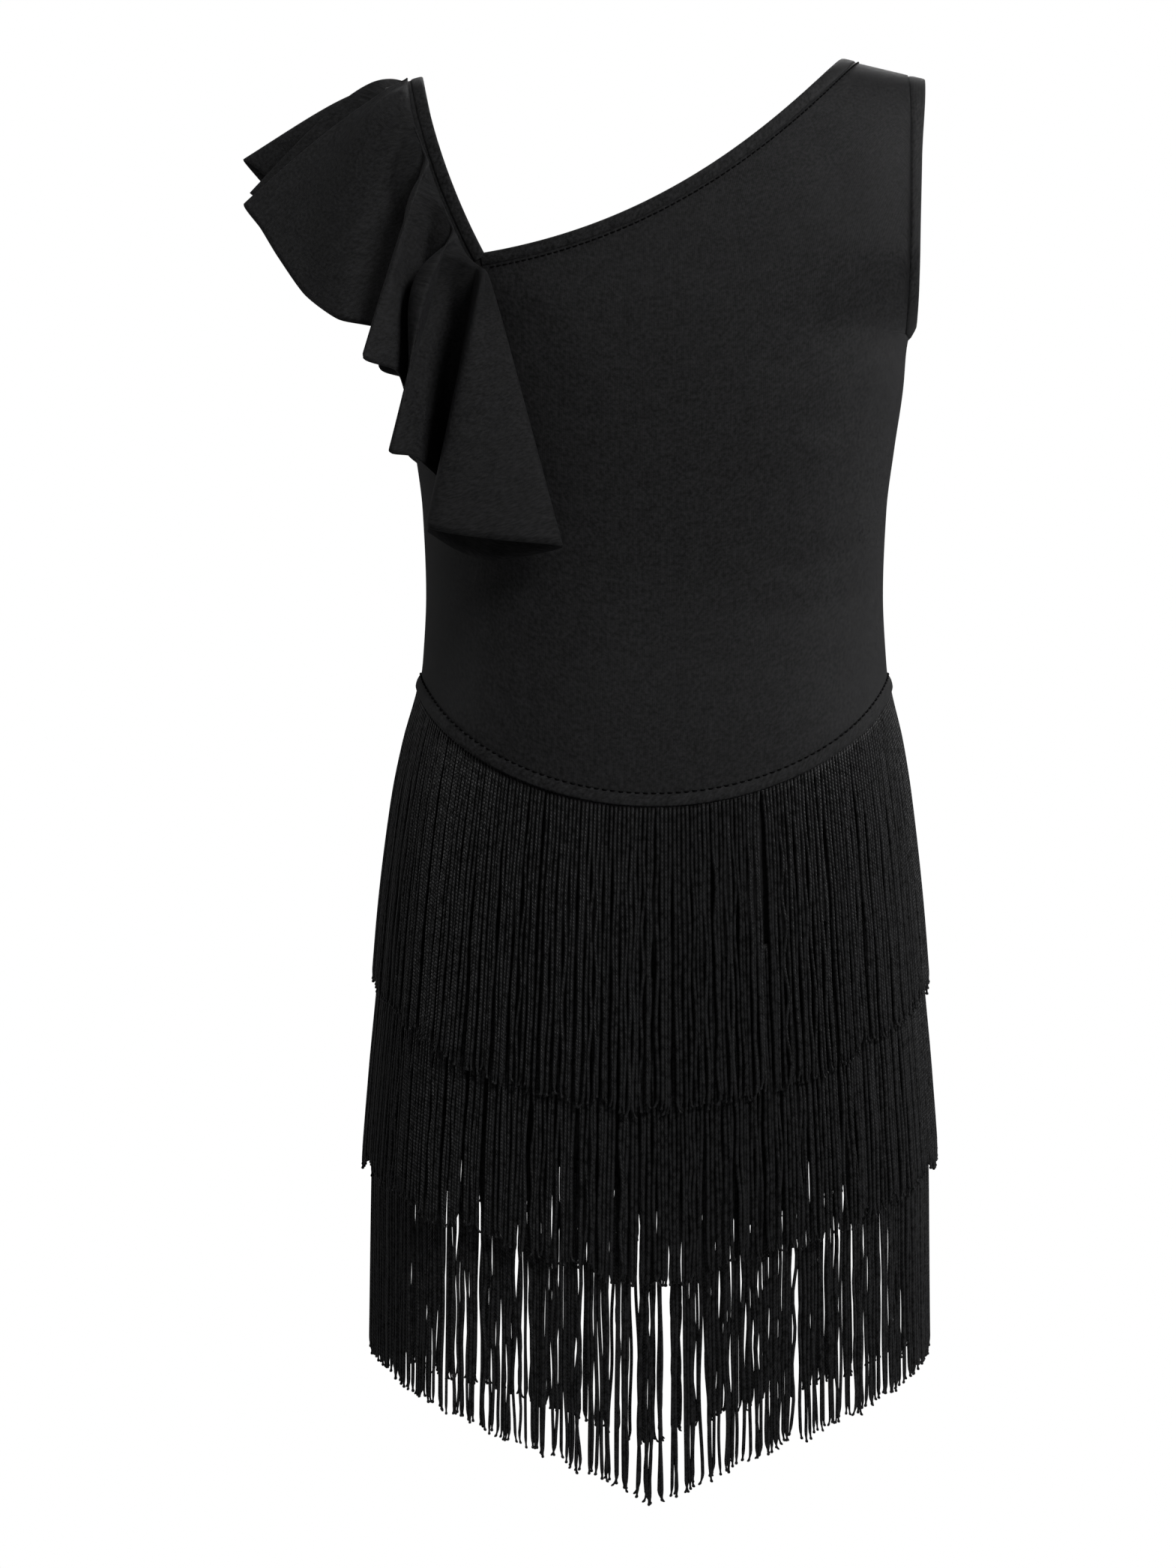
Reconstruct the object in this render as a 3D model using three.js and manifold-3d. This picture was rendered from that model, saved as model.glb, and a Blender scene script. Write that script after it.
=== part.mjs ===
// A child's charleston dance dress, standing out in the round as it does when it is worn.
// Black stretch jersey makes an asymmetric bodice: bare on one shoulder's side, with one circular
// flounce that falls from the other strap. Below a curved hip seam, three tiers of chainette fringe
// hang over a short jersey skirt.
// Millimetres, +Z up, front towards -Y. The origin is midway between the shoulders, at the height
// where the straps rest on them. The strap with the flounce is on the -X side.

import * as THREE from "three";
import { mergeVertices } from "three/addons/utils/BufferGeometryUtils.js";
import Module from "manifold-3d";

// Driving sizes
const CLOTH = 1.2; // jersey wall
const SEAM_GAP = 0.3; // between pieces at a seam
const BAND = 5.5; // width of the turned and bound edges, as seen from the front
const BAND_CLOTH = 1; // wall of those edges
const BAND_LIFT = 0.5; // between the bodice and the band that is turned onto it
const BINDING_EXTRA = 0.5; // how far an armhole's folded binding stands proud of the bodice
const ROUNDNESS = 2.2; // exponent of the body's oval sections
const UNDERARM_Z = -133;
// The shoulder line: its neck end, its fall outwards, and its tilt towards the flounce's side
const SHOULDER = { x: 90, z: 4.5, slope: 0.25, tilt: 0.016 };
const SHOULDER_ROUND = 4; // how tightly the cloth rounds over the shoulder
// Where the bodice's cloth ends at both armholes, and the outer edge of their bindings, seen from
// the front
const ARMHOLE = { bottom: { x: 118.6, z: UNDERARM_Z + 2 }, top: { x: 121.5, z: 20 } };
const BINDING_EDGE = [
  { x: 122.8, z: UNDERARM_Z + 2 + SEAM_GAP },
  { x: 122.4, z: -122 },
  { x: 123.4, z: -100 },
  { x: 125.3, z: -46 },
  { x: 128, z: -12 },
  { x: 130, z: 20 },
];

// The neckline, from the front: up the strap, then from the corner to the other shoulder
const STRAP_TOP = { x: -112, z: 0 };
const STRAP_BEND = { x: -103.6, z: -49.7 };
const NECK_CORNER = { x: -80.7, z: -93.6 };
const NECK_BEND = { x: 16, z: -80.7 };
const NECK_END = { x: 90, z: 6.5 };

// The hip seam and the rows of fringe: height at the side, a rounded dip to the centre and a more
// pointed one, and how far a lock spreads from the body for its length
const HIP = { side: -293.5, dip: 57.5, point: 0 };
const TIERS = [
  { name: "fringe_top", side: HIP.side + 2.2, dip: 57.5, point: 0, spread: 0.036 },
  { name: "fringe_middle", side: -376, dip: 42, point: 12.5, spread: 0.042 },
  { name: "fringe_bottom", side: -467, dip: 41, point: 21.7, spread: 0.014 },
];
const DIP_SHAPE = 0.8; // how full the dipping curves are
const BODICE_TUCK = 3.2; // how far the hip band reaches below the bodice's own edge
const SKIRT_TUCK = 8; // how far the skirt runs up inside the bodice
const SKIRT_IN = 0.6; // how far inside the bodice's inner face the skirt hangs
const SKIRT_BELOW_STRIP = 4; // how far the skirt runs below the last row of fringe
const STRIP = { height: 3, thick: 1.4 };
const FRINGE_LENGTH = 143;
const LOCKS = 32; // locks in each half of a tier
const LOCK_SHARE = 0.64; // a lock's share of its pitch, the rest being gap

// The body's oval sections, from the thighs up: half width, depths to front and back, and the x of
// the centre, because the skirt hangs a little towards the flounce's side. Above the underarm a
// row's z is its height where the shoulder line stands at 0.
const FORM = [
  { z: -690, width: 130, front: 92, back: 97, centre: -2.4 },
  { z: -600, width: 130, front: 92, back: 98, centre: -2.4 },
  { z: -530, width: 130.2, front: 92, back: 99, centre: -2.2 },
  { z: -480, width: 128.8, front: 92, back: 99, centre: -2 },
  { z: -440, width: 126.8, front: 91, back: 98, centre: -1.9 },
  { z: -400, width: 125, front: 90, back: 96, centre: -1.8 },
  { z: -350, width: 121, front: 88, back: 91, centre: -1.4 },
  { z: -320, width: 117, front: 85.5, back: 86.5, centre: -0.8 },
  { z: -293, width: 111.4, front: 82, back: 81, centre: -0.2 },
  { z: -280, width: 110, front: 80, back: 78, centre: 0 },
  { z: -250, width: 108.6, front: 78, back: 74, centre: 0 },
  { z: -210, width: 110.2, front: 80.5, back: 75, centre: 0 },
  { z: -180, width: 114, front: 83.5, back: 78, centre: 0 },
  { z: -150, width: 118.4, front: 85.5, back: 81, centre: 0 },
  { z: UNDERARM_Z, width: 119.8, front: 86, back: 82, centre: 0 },
  { z: -126, width: 121.2, front: 86, back: 83, centre: 0 },
  { z: -118, width: 126.5, front: 85.6, back: 83.5, centre: 0 },
  { z: -104, width: 138.5, front: 84, back: 84.6, centre: 0 },
  { z: -88, width: 148, front: 82, back: 85, centre: 0 },
  { z: -40, width: 153, front: 74, back: 80, centre: 0 },
  { z: 0, width: 153, front: 66, back: 70, centre: 0 },
];

// The flounce's seam line on the strap, from the front: heights going down
const FLOUNCE_SEAM = [
  { z: -102, x: -79.5 },
  { z: -94.8, x: -87.8 },
  { z: -77, x: -96.5 },
  { z: -58.8, x: -103.8 },
  { z: -40, x: -110.5 },
  { z: -22, x: -115.5 },
  { z: 3, x: -119 },
];
const FLOUNCE_CLOTH = 1;
const FLOUNCE_ROWS = 6;
const FLOUNCE_STEPS = 2; // columns between two of the rows below
// The flounce's folds, a row for each ridge and valley: the place on the seam line (-1 at the front
// corner, 0 on the shoulder, 1 at the back corner), where the hem lies, how far the fold's root is
// stacked out at the seam, and how far the cloth bows out on its way down.
const FOLDS = [
  { at: -1, x: -93, y: -70, z: -231, stack: 0, bow: 1 },
  { at: -0.985, x: -75, y: -79, z: -237, stack: 0.3, bow: 1 },
  { at: -0.97, x: -43.6, y: -89, z: -231, stack: 1.4, bow: 2 },
  { at: -0.955, x: -76, y: -96, z: -228, stack: 2.6, bow: 3 },
  { at: -0.94, x: -109.2, y: -84, z: -221.3, stack: 2.2, bow: 4 },
  { at: -0.92, x: -99, y: -60, z: -200, stack: 0.6, bow: 1 },
  { at: -0.895, x: -111, y: -82, z: -189, stack: 2, bow: 5 },
  { at: -0.87, x: -124, y: -84, z: -186.3, stack: 2, bow: 6 },
  { at: -0.78, x: -118, y: -59, z: -165, stack: 0.3, bow: 1 },
  { at: -0.69, x: -122, y: -82, z: -148, stack: 1, bow: 5 },
  { at: -0.62, x: -136, y: -88, z: -143.3, stack: 1, bow: 6 },
  { at: -0.55, x: -131, y: -62, z: -127.7, stack: 0, bow: 2 },
  { at: -0.45, x: -148.7, y: -72, z: -123.7, stack: 0, bow: 6 },
  { at: -0.34, x: -165, y: -58, z: -110.7, stack: 0, bow: 7 },
  { at: -0.21, x: -180.5, y: -38, z: -92.3, stack: 0, bow: 7 },
  { at: -0.09, x: -196, y: -14, z: -61.5, stack: 0.4, bow: 4 },
  { at: -0.01, x: -183, y: 0, z: -62, stack: 0, bow: 1 },
  { at: 0.07, x: -196, y: 12, z: -53, stack: 0.4, bow: 4 },
  { at: 0.15, x: -182, y: 25, z: -52, stack: 0, bow: 2 },
  { at: 0.24, x: -200, y: 38, z: -36.5, stack: 0.4, bow: 7 },
  { at: 0.35, x: -168, y: 56, z: -74, stack: 0, bow: 3 },
  { at: 0.45, x: -160, y: 80, z: -100, stack: 0.3, bow: 6 },
  { at: 0.55, x: -134, y: 66, z: -114, stack: 0, bow: 2 },
  { at: 0.63, x: -136, y: 92, z: -133, stack: 1, bow: 6 },
  { at: 0.7, x: -121, y: 88, z: -140, stack: 1, bow: 5 },
  { at: 0.79, x: -117, y: 62, z: -158, stack: 0.3, bow: 1 },
  { at: 0.88, x: -122, y: 88, z: -176, stack: 1.6, bow: 6 },
  { at: 0.92, x: -98, y: 61, z: -196, stack: 0.6, bow: 1 },
  { at: 0.945, x: -104, y: 86, z: -212, stack: 2, bow: 4 },
  { at: 0.965, x: -76, y: 97, z: -220, stack: 2.6, bow: 3 },
  { at: 0.98, x: -46, y: 90, z: -222, stack: 1.4, bow: 2 },
  { at: 0.99, x: -74, y: 81, z: -229, stack: 0.3, bow: 1 },
  { at: 1, x: -93, y: 73, z: -223, stack: 0, bow: 1 },
];

const jersey = new THREE.MeshStandardMaterial({ color: 0x1b1b1c, roughness: 0.82, metalness: 0 });
const chainette = new THREE.MeshStandardMaterial({ color: 0x111113, roughness: 0.6, metalness: 0 });

const wasm = await Module();
wasm.setup();

const dress = new THREE.Group();
const FRONT = -1;
const BACK = 1;
const RIGHT_ANGLE = Math.PI / 2;

function addPiece(name, geometry, material) {
  const piece = new THREE.Mesh(geometry, material);
  piece.name = name;
  dress.add(piece);
}

// Smooth curve through the rows of a table, which rise in the column that it is read by
function rowSlope(rows, index, by, column) {
  const rise = (a, b) => (rows[b][column] - rows[a][column]) / (rows[b][by] - rows[a][by]);
  if (index === 0) return rise(0, 1);
  if (index === rows.length - 1) return rise(index - 1, index);
  const before = rise(index - 1, index);
  const after = rise(index, index + 1);
  return before * after <= 0 ? 0 : (2 * before * after) / (before + after);
}

function readCurve(rows, by, column, value) {
  let i = 0;
  while (i < rows.length - 2 && value > rows[i + 1][by]) i += 1;
  const span = rows[i + 1][by] - rows[i][by];
  const t = THREE.MathUtils.clamp((value - rows[i][by]) / span, 0, 1);
  const startSlope = rowSlope(rows, i, by, column) * span;
  const endSlope = rowSlope(rows, i + 1, by, column) * span;
  return (
    (2 * t ** 3 - 3 * t ** 2 + 1) * rows[i][column] +
    (t ** 3 - 2 * t ** 2 + t) * startSlope +
    (3 * t ** 2 - 2 * t ** 3) * rows[i + 1][column] +
    (t ** 3 - t ** 2) * endSlope
  );
}

// The body's form. An angle runs round the body: 0 at centre front, a quarter turn at the +X side.
const roundedPower = (value) => Math.sign(value) * Math.abs(value) ** (2 / ROUNDNESS);

function ovalPoint(angle, sectionZ, z, closing, offset) {
  const centre = readCurve(FORM, "z", "centre", sectionZ);
  const width = readCurve(FORM, "z", "width", sectionZ) + offset;
  const x = centre + width * roundedPower(Math.sin(angle));
  const depthColumn = Math.cos(angle) > 0 ? "front" : "back";
  const depth = readCurve(FORM, "z", depthColumn, sectionZ) + offset;
  const y = -depth * closing * roundedPower(Math.cos(angle));
  return new THREE.Vector3(x, y, z);
}

const bodyPoint = (angle, z, offset) => ovalPoint(angle, z, z, 1, offset);

const shoulderHeight = (x, offset) =>
  SHOULDER.z + SHOULDER.tilt * x + offset - SHOULDER.slope * (Math.abs(x) - SHOULDER.x);

const shoulderClosing = (rise) => Math.sqrt(Math.max(0, 1 - rise ** SHOULDER_ROUND));

// Above the underarm, rise runs from 0 there to 1 on the shoulder line.
function chestPoint(angle, rise, offset) {
  const sectionZ = UNDERARM_Z * (1 - rise);
  const point = ovalPoint(angle, sectionZ, 0, shoulderClosing(rise), offset);
  point.z = UNDERARM_Z + rise * (shoulderHeight(point.x, offset) - UNDERARM_Z);
  return point;
}

// The point of the chest that lies at x and z when it is seen from the front or the back
function chestPointAt(side, x, z, offset) {
  const rise = (z - UNDERARM_Z) / (shoulderHeight(x, offset) - UNDERARM_Z);
  const sectionZ = UNDERARM_Z * (1 - rise);
  const width = readCurve(FORM, "z", "width", sectionZ) + offset;
  const depth = readCurve(FORM, "z", side === FRONT ? "front" : "back", sectionZ) + offset;
  const across = (1 - Math.abs(x / width) ** ROUNDNESS) ** (1 / ROUNDNESS);
  return new THREE.Vector3(x, side * depth * across * shoulderClosing(Math.min(rise, 1)), z);
}

// A row of seam or fringe dips from the sides to the centre.
function dippingZ(row, angle) {
  const across = roundedPower(Math.abs(Math.sin(angle)));
  const rounded = Math.max(0, 1 - across ** 2) ** DIP_SHAPE;
  return row.side - row.dip * rounded - row.point * (1 - across) ** 3;
}

// Geometry from rows of points
class FaceList {
  constructor() {
    this.positions = [];
  }
  triangle(a, b, c) {
    for (const point of [a, b, c]) this.positions.push(point.x, point.y, point.z);
  }
  quad(a, b, c, d) {
    this.triangle(a, b, c);
    this.triangle(a, c, d);
  }
  // Quads between two rows of points. Rows are listed so that the faces look out.
  strip(lower, upper, closed = false) {
    const last = closed ? lower.length : lower.length - 1;
    for (let i = 0; i < last; i += 1) {
      const next = (i + 1) % lower.length;
      this.quad(lower[i], lower[next], upper[next], upper[i]);
    }
  }
  geometry() {
    const loose = new THREE.BufferGeometry();
    loose.setAttribute("position", new THREE.Float32BufferAttribute(this.positions, 3));
    return mergeVertices(loose, 1e-3);
  }
}

const column = (rows, index) => rows.map((row) => row[index]);

// A cloth wall between an inner and an outer grid of points, rows going up and columns going round
// from -X to +X as seen from outside.
function wallBetween(inner, outer) {
  const faces = new FaceList();
  const top = inner.length - 1;
  const end = inner[0].length - 1;
  for (let j = 0; j < top; j += 1) {
    faces.strip(outer[j], outer[j + 1]);
    faces.strip(inner[j + 1], inner[j]);
  }
  faces.strip(inner[0], outer[0]);
  faces.strip(outer[top], inner[top]);
  faces.strip(column(outer, 0), column(inner, 0));
  faces.strip(column(inner, end), column(outer, end));
  return faces.geometry();
}

// The angle at a share of the way round the front or the back half, seen from outside. At both
// ends it stops short of the side seam by half the seam's gap.
function halfAngle(side, share) {
  const SEAM_EDGE = (SEAM_GAP / 2 / 80) ** (ROUNDNESS / 2);
  const first = side === FRONT ? -RIGHT_ANGLE : RIGHT_ANGLE;
  return THREE.MathUtils.clamp(first + Math.PI * share, first + SEAM_EDGE, first + Math.PI - SEAM_EDGE);
}

// Angles that step evenly along a row of one half
function evenAngles(side, row, fractions) {
  const SAMPLES = 400;
  const sweep = (step) => halfAngle(side, step / SAMPLES);
  const lengths = [0];
  let previous = bodyPoint(sweep(0), dippingZ(row, sweep(0)), 0);
  for (let step = 1; step <= SAMPLES; step += 1) {
    const point = bodyPoint(sweep(step), dippingZ(row, sweep(step)), 0);
    lengths.push(lengths[step - 1] + point.distanceTo(previous));
    previous = point;
  }
  return fractions.map((fraction) => {
    const wanted = fraction * lengths[SAMPLES];
    let step = 1;
    while (step < SAMPLES && lengths[step] < wanted) step += 1;
    const share = (wanted - lengths[step - 1]) / (lengths[step] - lengths[step - 1]);
    return sweep(step - 1 + THREE.MathUtils.clamp(share, 0, 1));
  });
}

const HALF_COLUMNS = 24; // columns round one half of the body, the same in each layer of jersey
const evenly = (count) => Array.from({ length: count + 1 }, (unused, i) => i / count);

// Solids for joining and cutting
function solidOf(geometry) {
  return new wasm.Manifold(
    new wasm.Mesh({
      numProp: 3,
      vertProperties: geometry.attributes.position.array,
      triVerts: new Uint32Array(geometry.index.array),
    }),
  );
}

function geometryOf(solid) {
  const mesh = solid.getMesh();
  const geometry = new THREE.BufferGeometry();
  geometry.setAttribute("position", new THREE.BufferAttribute(mesh.vertProperties, 3));
  geometry.setIndex(new THREE.BufferAttribute(mesh.triVerts, 1));
  return geometry;
}

// A block with an outline drawn from the front, reaching from one depth to another
function blockFromFront(outline, nearY, farY) {
  const shape = new THREE.Shape(outline.map((point) => new THREE.Vector2(point.x, point.z)));
  const block = new THREE.ExtrudeGeometry(shape, { depth: farY - nearY, bevelEnabled: false });
  block.deleteAttribute("normal");
  block.deleteAttribute("uv");
  block.rotateX(RIGHT_ANGLE);
  block.translate(0, farY, 0);
  return solidOf(mergeVertices(block, 1e-3));
}

const BEYOND = 220; // past the dress on every side
const frontHalf = (outline) => blockFromFront(outline, -BEYOND, -SEAM_GAP / 2);
const backHalf = (outline) => blockFromFront(outline, SEAM_GAP / 2, BEYOND);

// The whole torso as one jersey wall, from the hip seam to the shoulder line, before it is cut
function torsoWall(inside, outside) {
  const LOWER_ROWS = 9;
  const CHEST_ROWS = 11;
  const angles = evenly(HALF_COLUMNS * 2)
    .slice(1)
    .map((share) => -RIGHT_ANGLE + share * 2 * Math.PI);
  const surface = (offset) => {
    const rows = [];
    for (const share of evenly(LOWER_ROWS)) {
      rows.push(
        angles.map((angle) => {
          const hem = dippingZ(HIP, angle) + BODICE_TUCK;
          return bodyPoint(angle, THREE.MathUtils.lerp(hem, UNDERARM_Z, share), offset);
        }),
      );
    }
    for (const share of evenly(CHEST_ROWS).slice(1)) {
      const rise = 1 - (1 - share) ** 2;
      rows.push(angles.map((angle) => chestPoint(angle, rise, offset)));
    }
    return rows;
  };
  const inner = surface(inside);
  const outer = surface(outside);
  const faces = new FaceList();
  for (let j = 0; j < inner.length - 1; j += 1) {
    faces.strip(outer[j], outer[j + 1], true);
    faces.strip(inner[j + 1], inner[j], true);
  }
  faces.strip(inner[0], outer[0], true);
  return solidOf(faces.geometry());
}

// Neckline and edge bands
const NECK_STEPS = 12;
const ABOVE = 20; // above the shoulders

function quadraticPoints(start, bend, end) {
  const curve = new THREE.QuadraticBezierCurve(
    new THREE.Vector2(start.x, start.z),
    new THREE.Vector2(bend.x, bend.z),
    new THREE.Vector2(end.x, end.z),
  );
  return curve.getPoints(NECK_STEPS).map((point) => ({ x: point.x, z: point.y }));
}

const strapEdge = [
  { x: STRAP_TOP.x, z: ABOVE },
  ...quadraticPoints(STRAP_TOP, STRAP_BEND, NECK_CORNER),
];
const neckEdge = [
  ...quadraticPoints(NECK_CORNER, NECK_BEND, NECK_END),
  { x: NECK_END.x + ABOVE - NECK_END.z, z: ABOVE },
];

// The line that runs a set distance to the right of a path's direction, with mitred corners
function offsetPath(path, distance) {
  return path.map((point, i) => {
    const back = path[Math.max(i - 1, 0)];
    const ahead = path[Math.min(i + 1, path.length - 1)];
    const before = new THREE.Vector2(point.x - back.x, point.z - back.z);
    const after = new THREE.Vector2(ahead.x - point.x, ahead.z - point.z);
    const into = (before.lengthSq() ? before : after).clone().normalize();
    const outOf = (after.lengthSq() ? after : before).clone().normalize();
    const along = into.clone().add(outOf).normalize();
    const reach = distance / along.dot(outOf);
    return { x: point.x + along.y * reach, z: point.z - along.x * reach };
  });
}

// The strap and the neckline are one path, with the corner where they meet.
const wholeEdge = [...strapEdge, ...neckEdge.slice(1)];
const wholeInset = offsetPath(wholeEdge, BAND);
const cornerIndex = strapEdge.length - 1;

function bandOutline(first, last) {
  const edge = wholeEdge.slice(first, last + 1);
  const inset = wholeInset.slice(first, last + 1);
  return [...edge, ...inset.reverse()];
}

function strapBandOutline() {
  const outline = bandOutline(0, cornerIndex);
  const raise = (point) => ({ x: point.x - SEAM_GAP / 2, z: point.z + SEAM_GAP });
  outline[cornerIndex] = raise(outline[cornerIndex]);
  outline[cornerIndex + 1] = raise(outline[cornerIndex + 1]);
  return outline;
}

function bodicePieces() {
  const { bottom, top } = ARMHOLE;
  const panel = [
    { x: -BEYOND, z: -2 * BEYOND },
    { x: -BEYOND, z: bottom.z },
    { x: -bottom.x, z: bottom.z },
    { x: -top.x, z: top.z },
    ...wholeEdge,
    { x: top.x, z: top.z },
    { x: bottom.x, z: bottom.z },
    { x: BEYOND, z: bottom.z },
    { x: BEYOND, z: -2 * BEYOND },
  ];
  const torso = torsoWall(0, CLOTH);
  addPiece("bodice_front", geometryOf(torso.intersect(frontHalf(panel))), jersey);
  addPiece("bodice_back", geometryOf(torso.intersect(backHalf(panel))), jersey);

  const overlay = torsoWall(CLOTH + BAND_LIFT, CLOTH + BAND_LIFT + BAND_CLOTH);
  const neckBand = bandOutline(cornerIndex, wholeEdge.length - 1);
  const strapBand = strapBandOutline();
  addPiece("neck_band_front", geometryOf(overlay.intersect(frontHalf(neckBand))), jersey);
  addPiece("neck_band_back", geometryOf(overlay.intersect(backHalf(neckBand))), jersey);
  const overShoulder = blockFromFront(strapBand, -BEYOND, BEYOND);
  addPiece("strap_band", geometryOf(overlay.intersect(overShoulder)), jersey);

  const binding = torsoWall(0, CLOTH + BINDING_EXTRA);
  for (const [name, side] of [["armhole_binding_flounce_side", -1], ["armhole_binding_bare_side", 1]]) {
    const outline = [
      ...BINDING_EDGE.map((point) => ({ x: side * point.x, z: point.z })),
      { x: side * (top.x + SEAM_GAP), z: BINDING_EDGE.at(-1).z },
      { x: side * (bottom.x + SEAM_GAP), z: BINDING_EDGE[0].z },
    ];
    addPiece(name, geometryOf(binding.intersect(blockFromFront(outline, -BEYOND, BEYOND))), jersey);
  }
}

// A wall that lies on the body between two heights, over one half of the body
function halfWall(side, lowerRow, upperRow, inside, outside, rows) {
  const angles = evenly(HALF_COLUMNS).map((share) => halfAngle(side, share));
  const surface = (offset) =>
    evenly(rows).map((share) =>
      angles.map((angle) => {
        const z = THREE.MathUtils.lerp(dippingZ(lowerRow, angle), dippingZ(upperRow, angle), share);
        return bodyPoint(angle, z, offset);
      }),
    );
  return wallBetween(surface(inside), surface(outside));
}

const raised = (row, height) => ({ ...row, side: row.side + height });

function hipBands() {
  const inside = STRIP.thick + 2 * BAND_LIFT;
  for (const [name, side] of [["hip_band_front", FRONT], ["hip_band_back", BACK]]) {
    const band = halfWall(side, HIP, raised(HIP, BAND), inside, inside + BAND_CLOTH, 1);
    addPiece(name, band, jersey);
  }
}

function skirtPanels() {
  const hem = raised(TIERS[2], -SKIRT_BELOW_STRIP - STRIP.height);
  const top = raised(HIP, SKIRT_TUCK);
  for (const [name, side] of [["skirt_front", FRONT], ["skirt_back", BACK]]) {
    addPiece(name, halfWall(side, hem, top, -SKIRT_IN - CLOTH, -SKIRT_IN, 5), jersey);
  }
}

// Half a tier of fringe: a woven strip, with locks that hang from its lower edge. Each lock runs
// straight down from its place on the strip, and spreads from the body a little as it falls.
const LOCK_DROPS = [0, 0.22, 0.55, 1];

function lockSway(index) {
  return 0.22 * Math.sin(index * 2.4) + 0.16 * Math.sin(index * 1.13);
}

function lockTrim(index) {
  return 3 * Math.sin(index * 1.7) + 2 * Math.sin(index * 0.61);
}

function fringeHalf(side, tier) {
  const edges = [0];
  for (let lock = 0; lock < LOCKS; lock += 1) {
    const start = (1 - LOCK_SHARE) / 2;
    edges.push((lock + start) / LOCKS, (lock + start + LOCK_SHARE) / LOCKS);
  }
  edges.push(1);
  const angles = evenAngles(side, tier, edges);
  const inside = 0.2;
  const outside = inside + STRIP.thick;
  const at = (angle, below, offset) => bodyPoint(angle, dippingZ(tier, angle) - below, offset);
  const topInner = angles.map((angle) => at(angle, 0, inside));
  const topOuter = angles.map((angle) => at(angle, 0, outside));
  const lowInner = angles.map((angle) => at(angle, STRIP.height, inside));
  const lowOuter = angles.map((angle) => at(angle, STRIP.height, outside));
  const faces = new FaceList();
  faces.strip(lowOuter, topOuter);
  faces.strip(topInner, lowInner);
  faces.strip(topOuter, topInner);
  faces.quad(lowInner[0], lowOuter[0], topOuter[0], topInner[0]);
  const end = angles.length - 1;
  faces.quad(lowOuter[end], lowInner[end], topInner[end], topOuter[end]);
  for (let i = 0; i < end; i += 1) {
    if (i % 2 === 0) {
      faces.quad(lowInner[i], lowInner[i + 1], lowOuter[i + 1], lowOuter[i]);
      continue;
    }
    const pitch = (angles[i + 1] - angles[i]) / LOCK_SHARE;
    const length = FRINGE_LENGTH - STRIP.height + lockTrim(i);
    const ring = (drop) => {
      const below = STRIP.height + drop * length;
      const sway = lockSway(i) * pitch * drop ** 2;
      const spread = tier.spread * drop * length;
      return [
        at(angles[i] + sway, below, inside + spread),
        at(angles[i + 1] + sway, below, inside + spread),
        at(angles[i + 1] + sway, below, outside + spread),
        at(angles[i] + sway, below, outside + spread),
      ];
    };
    const rings = LOCK_DROPS.map(ring);
    for (let j = 0; j < rings.length - 1; j += 1) faces.strip(rings[j], rings[j + 1], true);
    faces.quad(...rings[rings.length - 1]);
  }
  return faces.geometry();
}

function fringeTiers() {
  for (const tier of TIERS) {
    addPiece(tier.name + "_front", fringeHalf(FRONT, tier), chainette);
    addPiece(tier.name + "_back", fringeHalf(BACK, tier), chainette);
  }
}

// The flounce: its root follows the strap over the shoulder, its first part lies along the body, and
// its hem follows the table of folds.
const FLOUNCE_LIFT = CLOTH + BINDING_EXTRA + SEAM_GAP + FLOUNCE_CLOTH / 2 + 0.3;

function flounceRoot(at, offset) {
  const corner = FLOUNCE_SEAM[0];
  const x0 = FLOUNCE_SEAM[FLOUNCE_SEAM.length - 1].x;
  const ridge = shoulderHeight(x0, offset);
  const z = ridge + (corner.z - ridge) * at ** 2;
  const x = readCurve(FLOUNCE_SEAM, "z", "x", z);
  return chestPointAt(at < 0 ? FRONT : BACK, x, Math.min(z, shoulderHeight(x, offset)), offset);
}

// The point on the body that the flounce's cloth heads for as it leaves the seam
function flounceHeading(at, root, hem, offset) {
  const side = at < 0 ? FRONT : BACK;
  const reach = 0.3 * root.distanceTo(hem);
  const rise = (root.z - UNDERARM_Z) / (shoulderHeight(root.x, offset) - UNDERARM_Z);
  const x = root.x - reach;
  const z = UNDERARM_Z + Math.min(rise, 1) * (shoulderHeight(x, offset) - UNDERARM_Z);
  const across = chestPointAt(side, x, z, offset);
  const fall = new THREE.Vector2(hem.x - root.x, hem.z - root.z).setLength(reach);
  const down = chestPointAt(side, root.x + fall.x, root.z + fall.y, offset);
  return across.lerp(down, THREE.MathUtils.smoothstep(Math.abs(at), 0.4, 0.75));
}

// Smooth value of a table's column at a place between its rows
function foldValue(columnName, place) {
  const i = Math.min(Math.floor(place), FOLDS.length - 2);
  const t = place - i;
  const value = (index) => FOLDS[THREE.MathUtils.clamp(index, 0, FOLDS.length - 1)][columnName];
  const [a, b, c, d] = [value(i - 1), value(i), value(i + 1), value(i + 2)];
  const TENSION = 0.38;
  const startSlope = TENSION * (c - a);
  const endSlope = TENSION * (d - b);
  return (
    (2 * t ** 3 - 3 * t ** 2 + 1) * b +
    (t ** 3 - 2 * t ** 2 + t) * startSlope +
    (3 * t ** 2 - 2 * t ** 3) * c +
    (t ** 3 - t ** 2) * endSlope
  );
}

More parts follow.
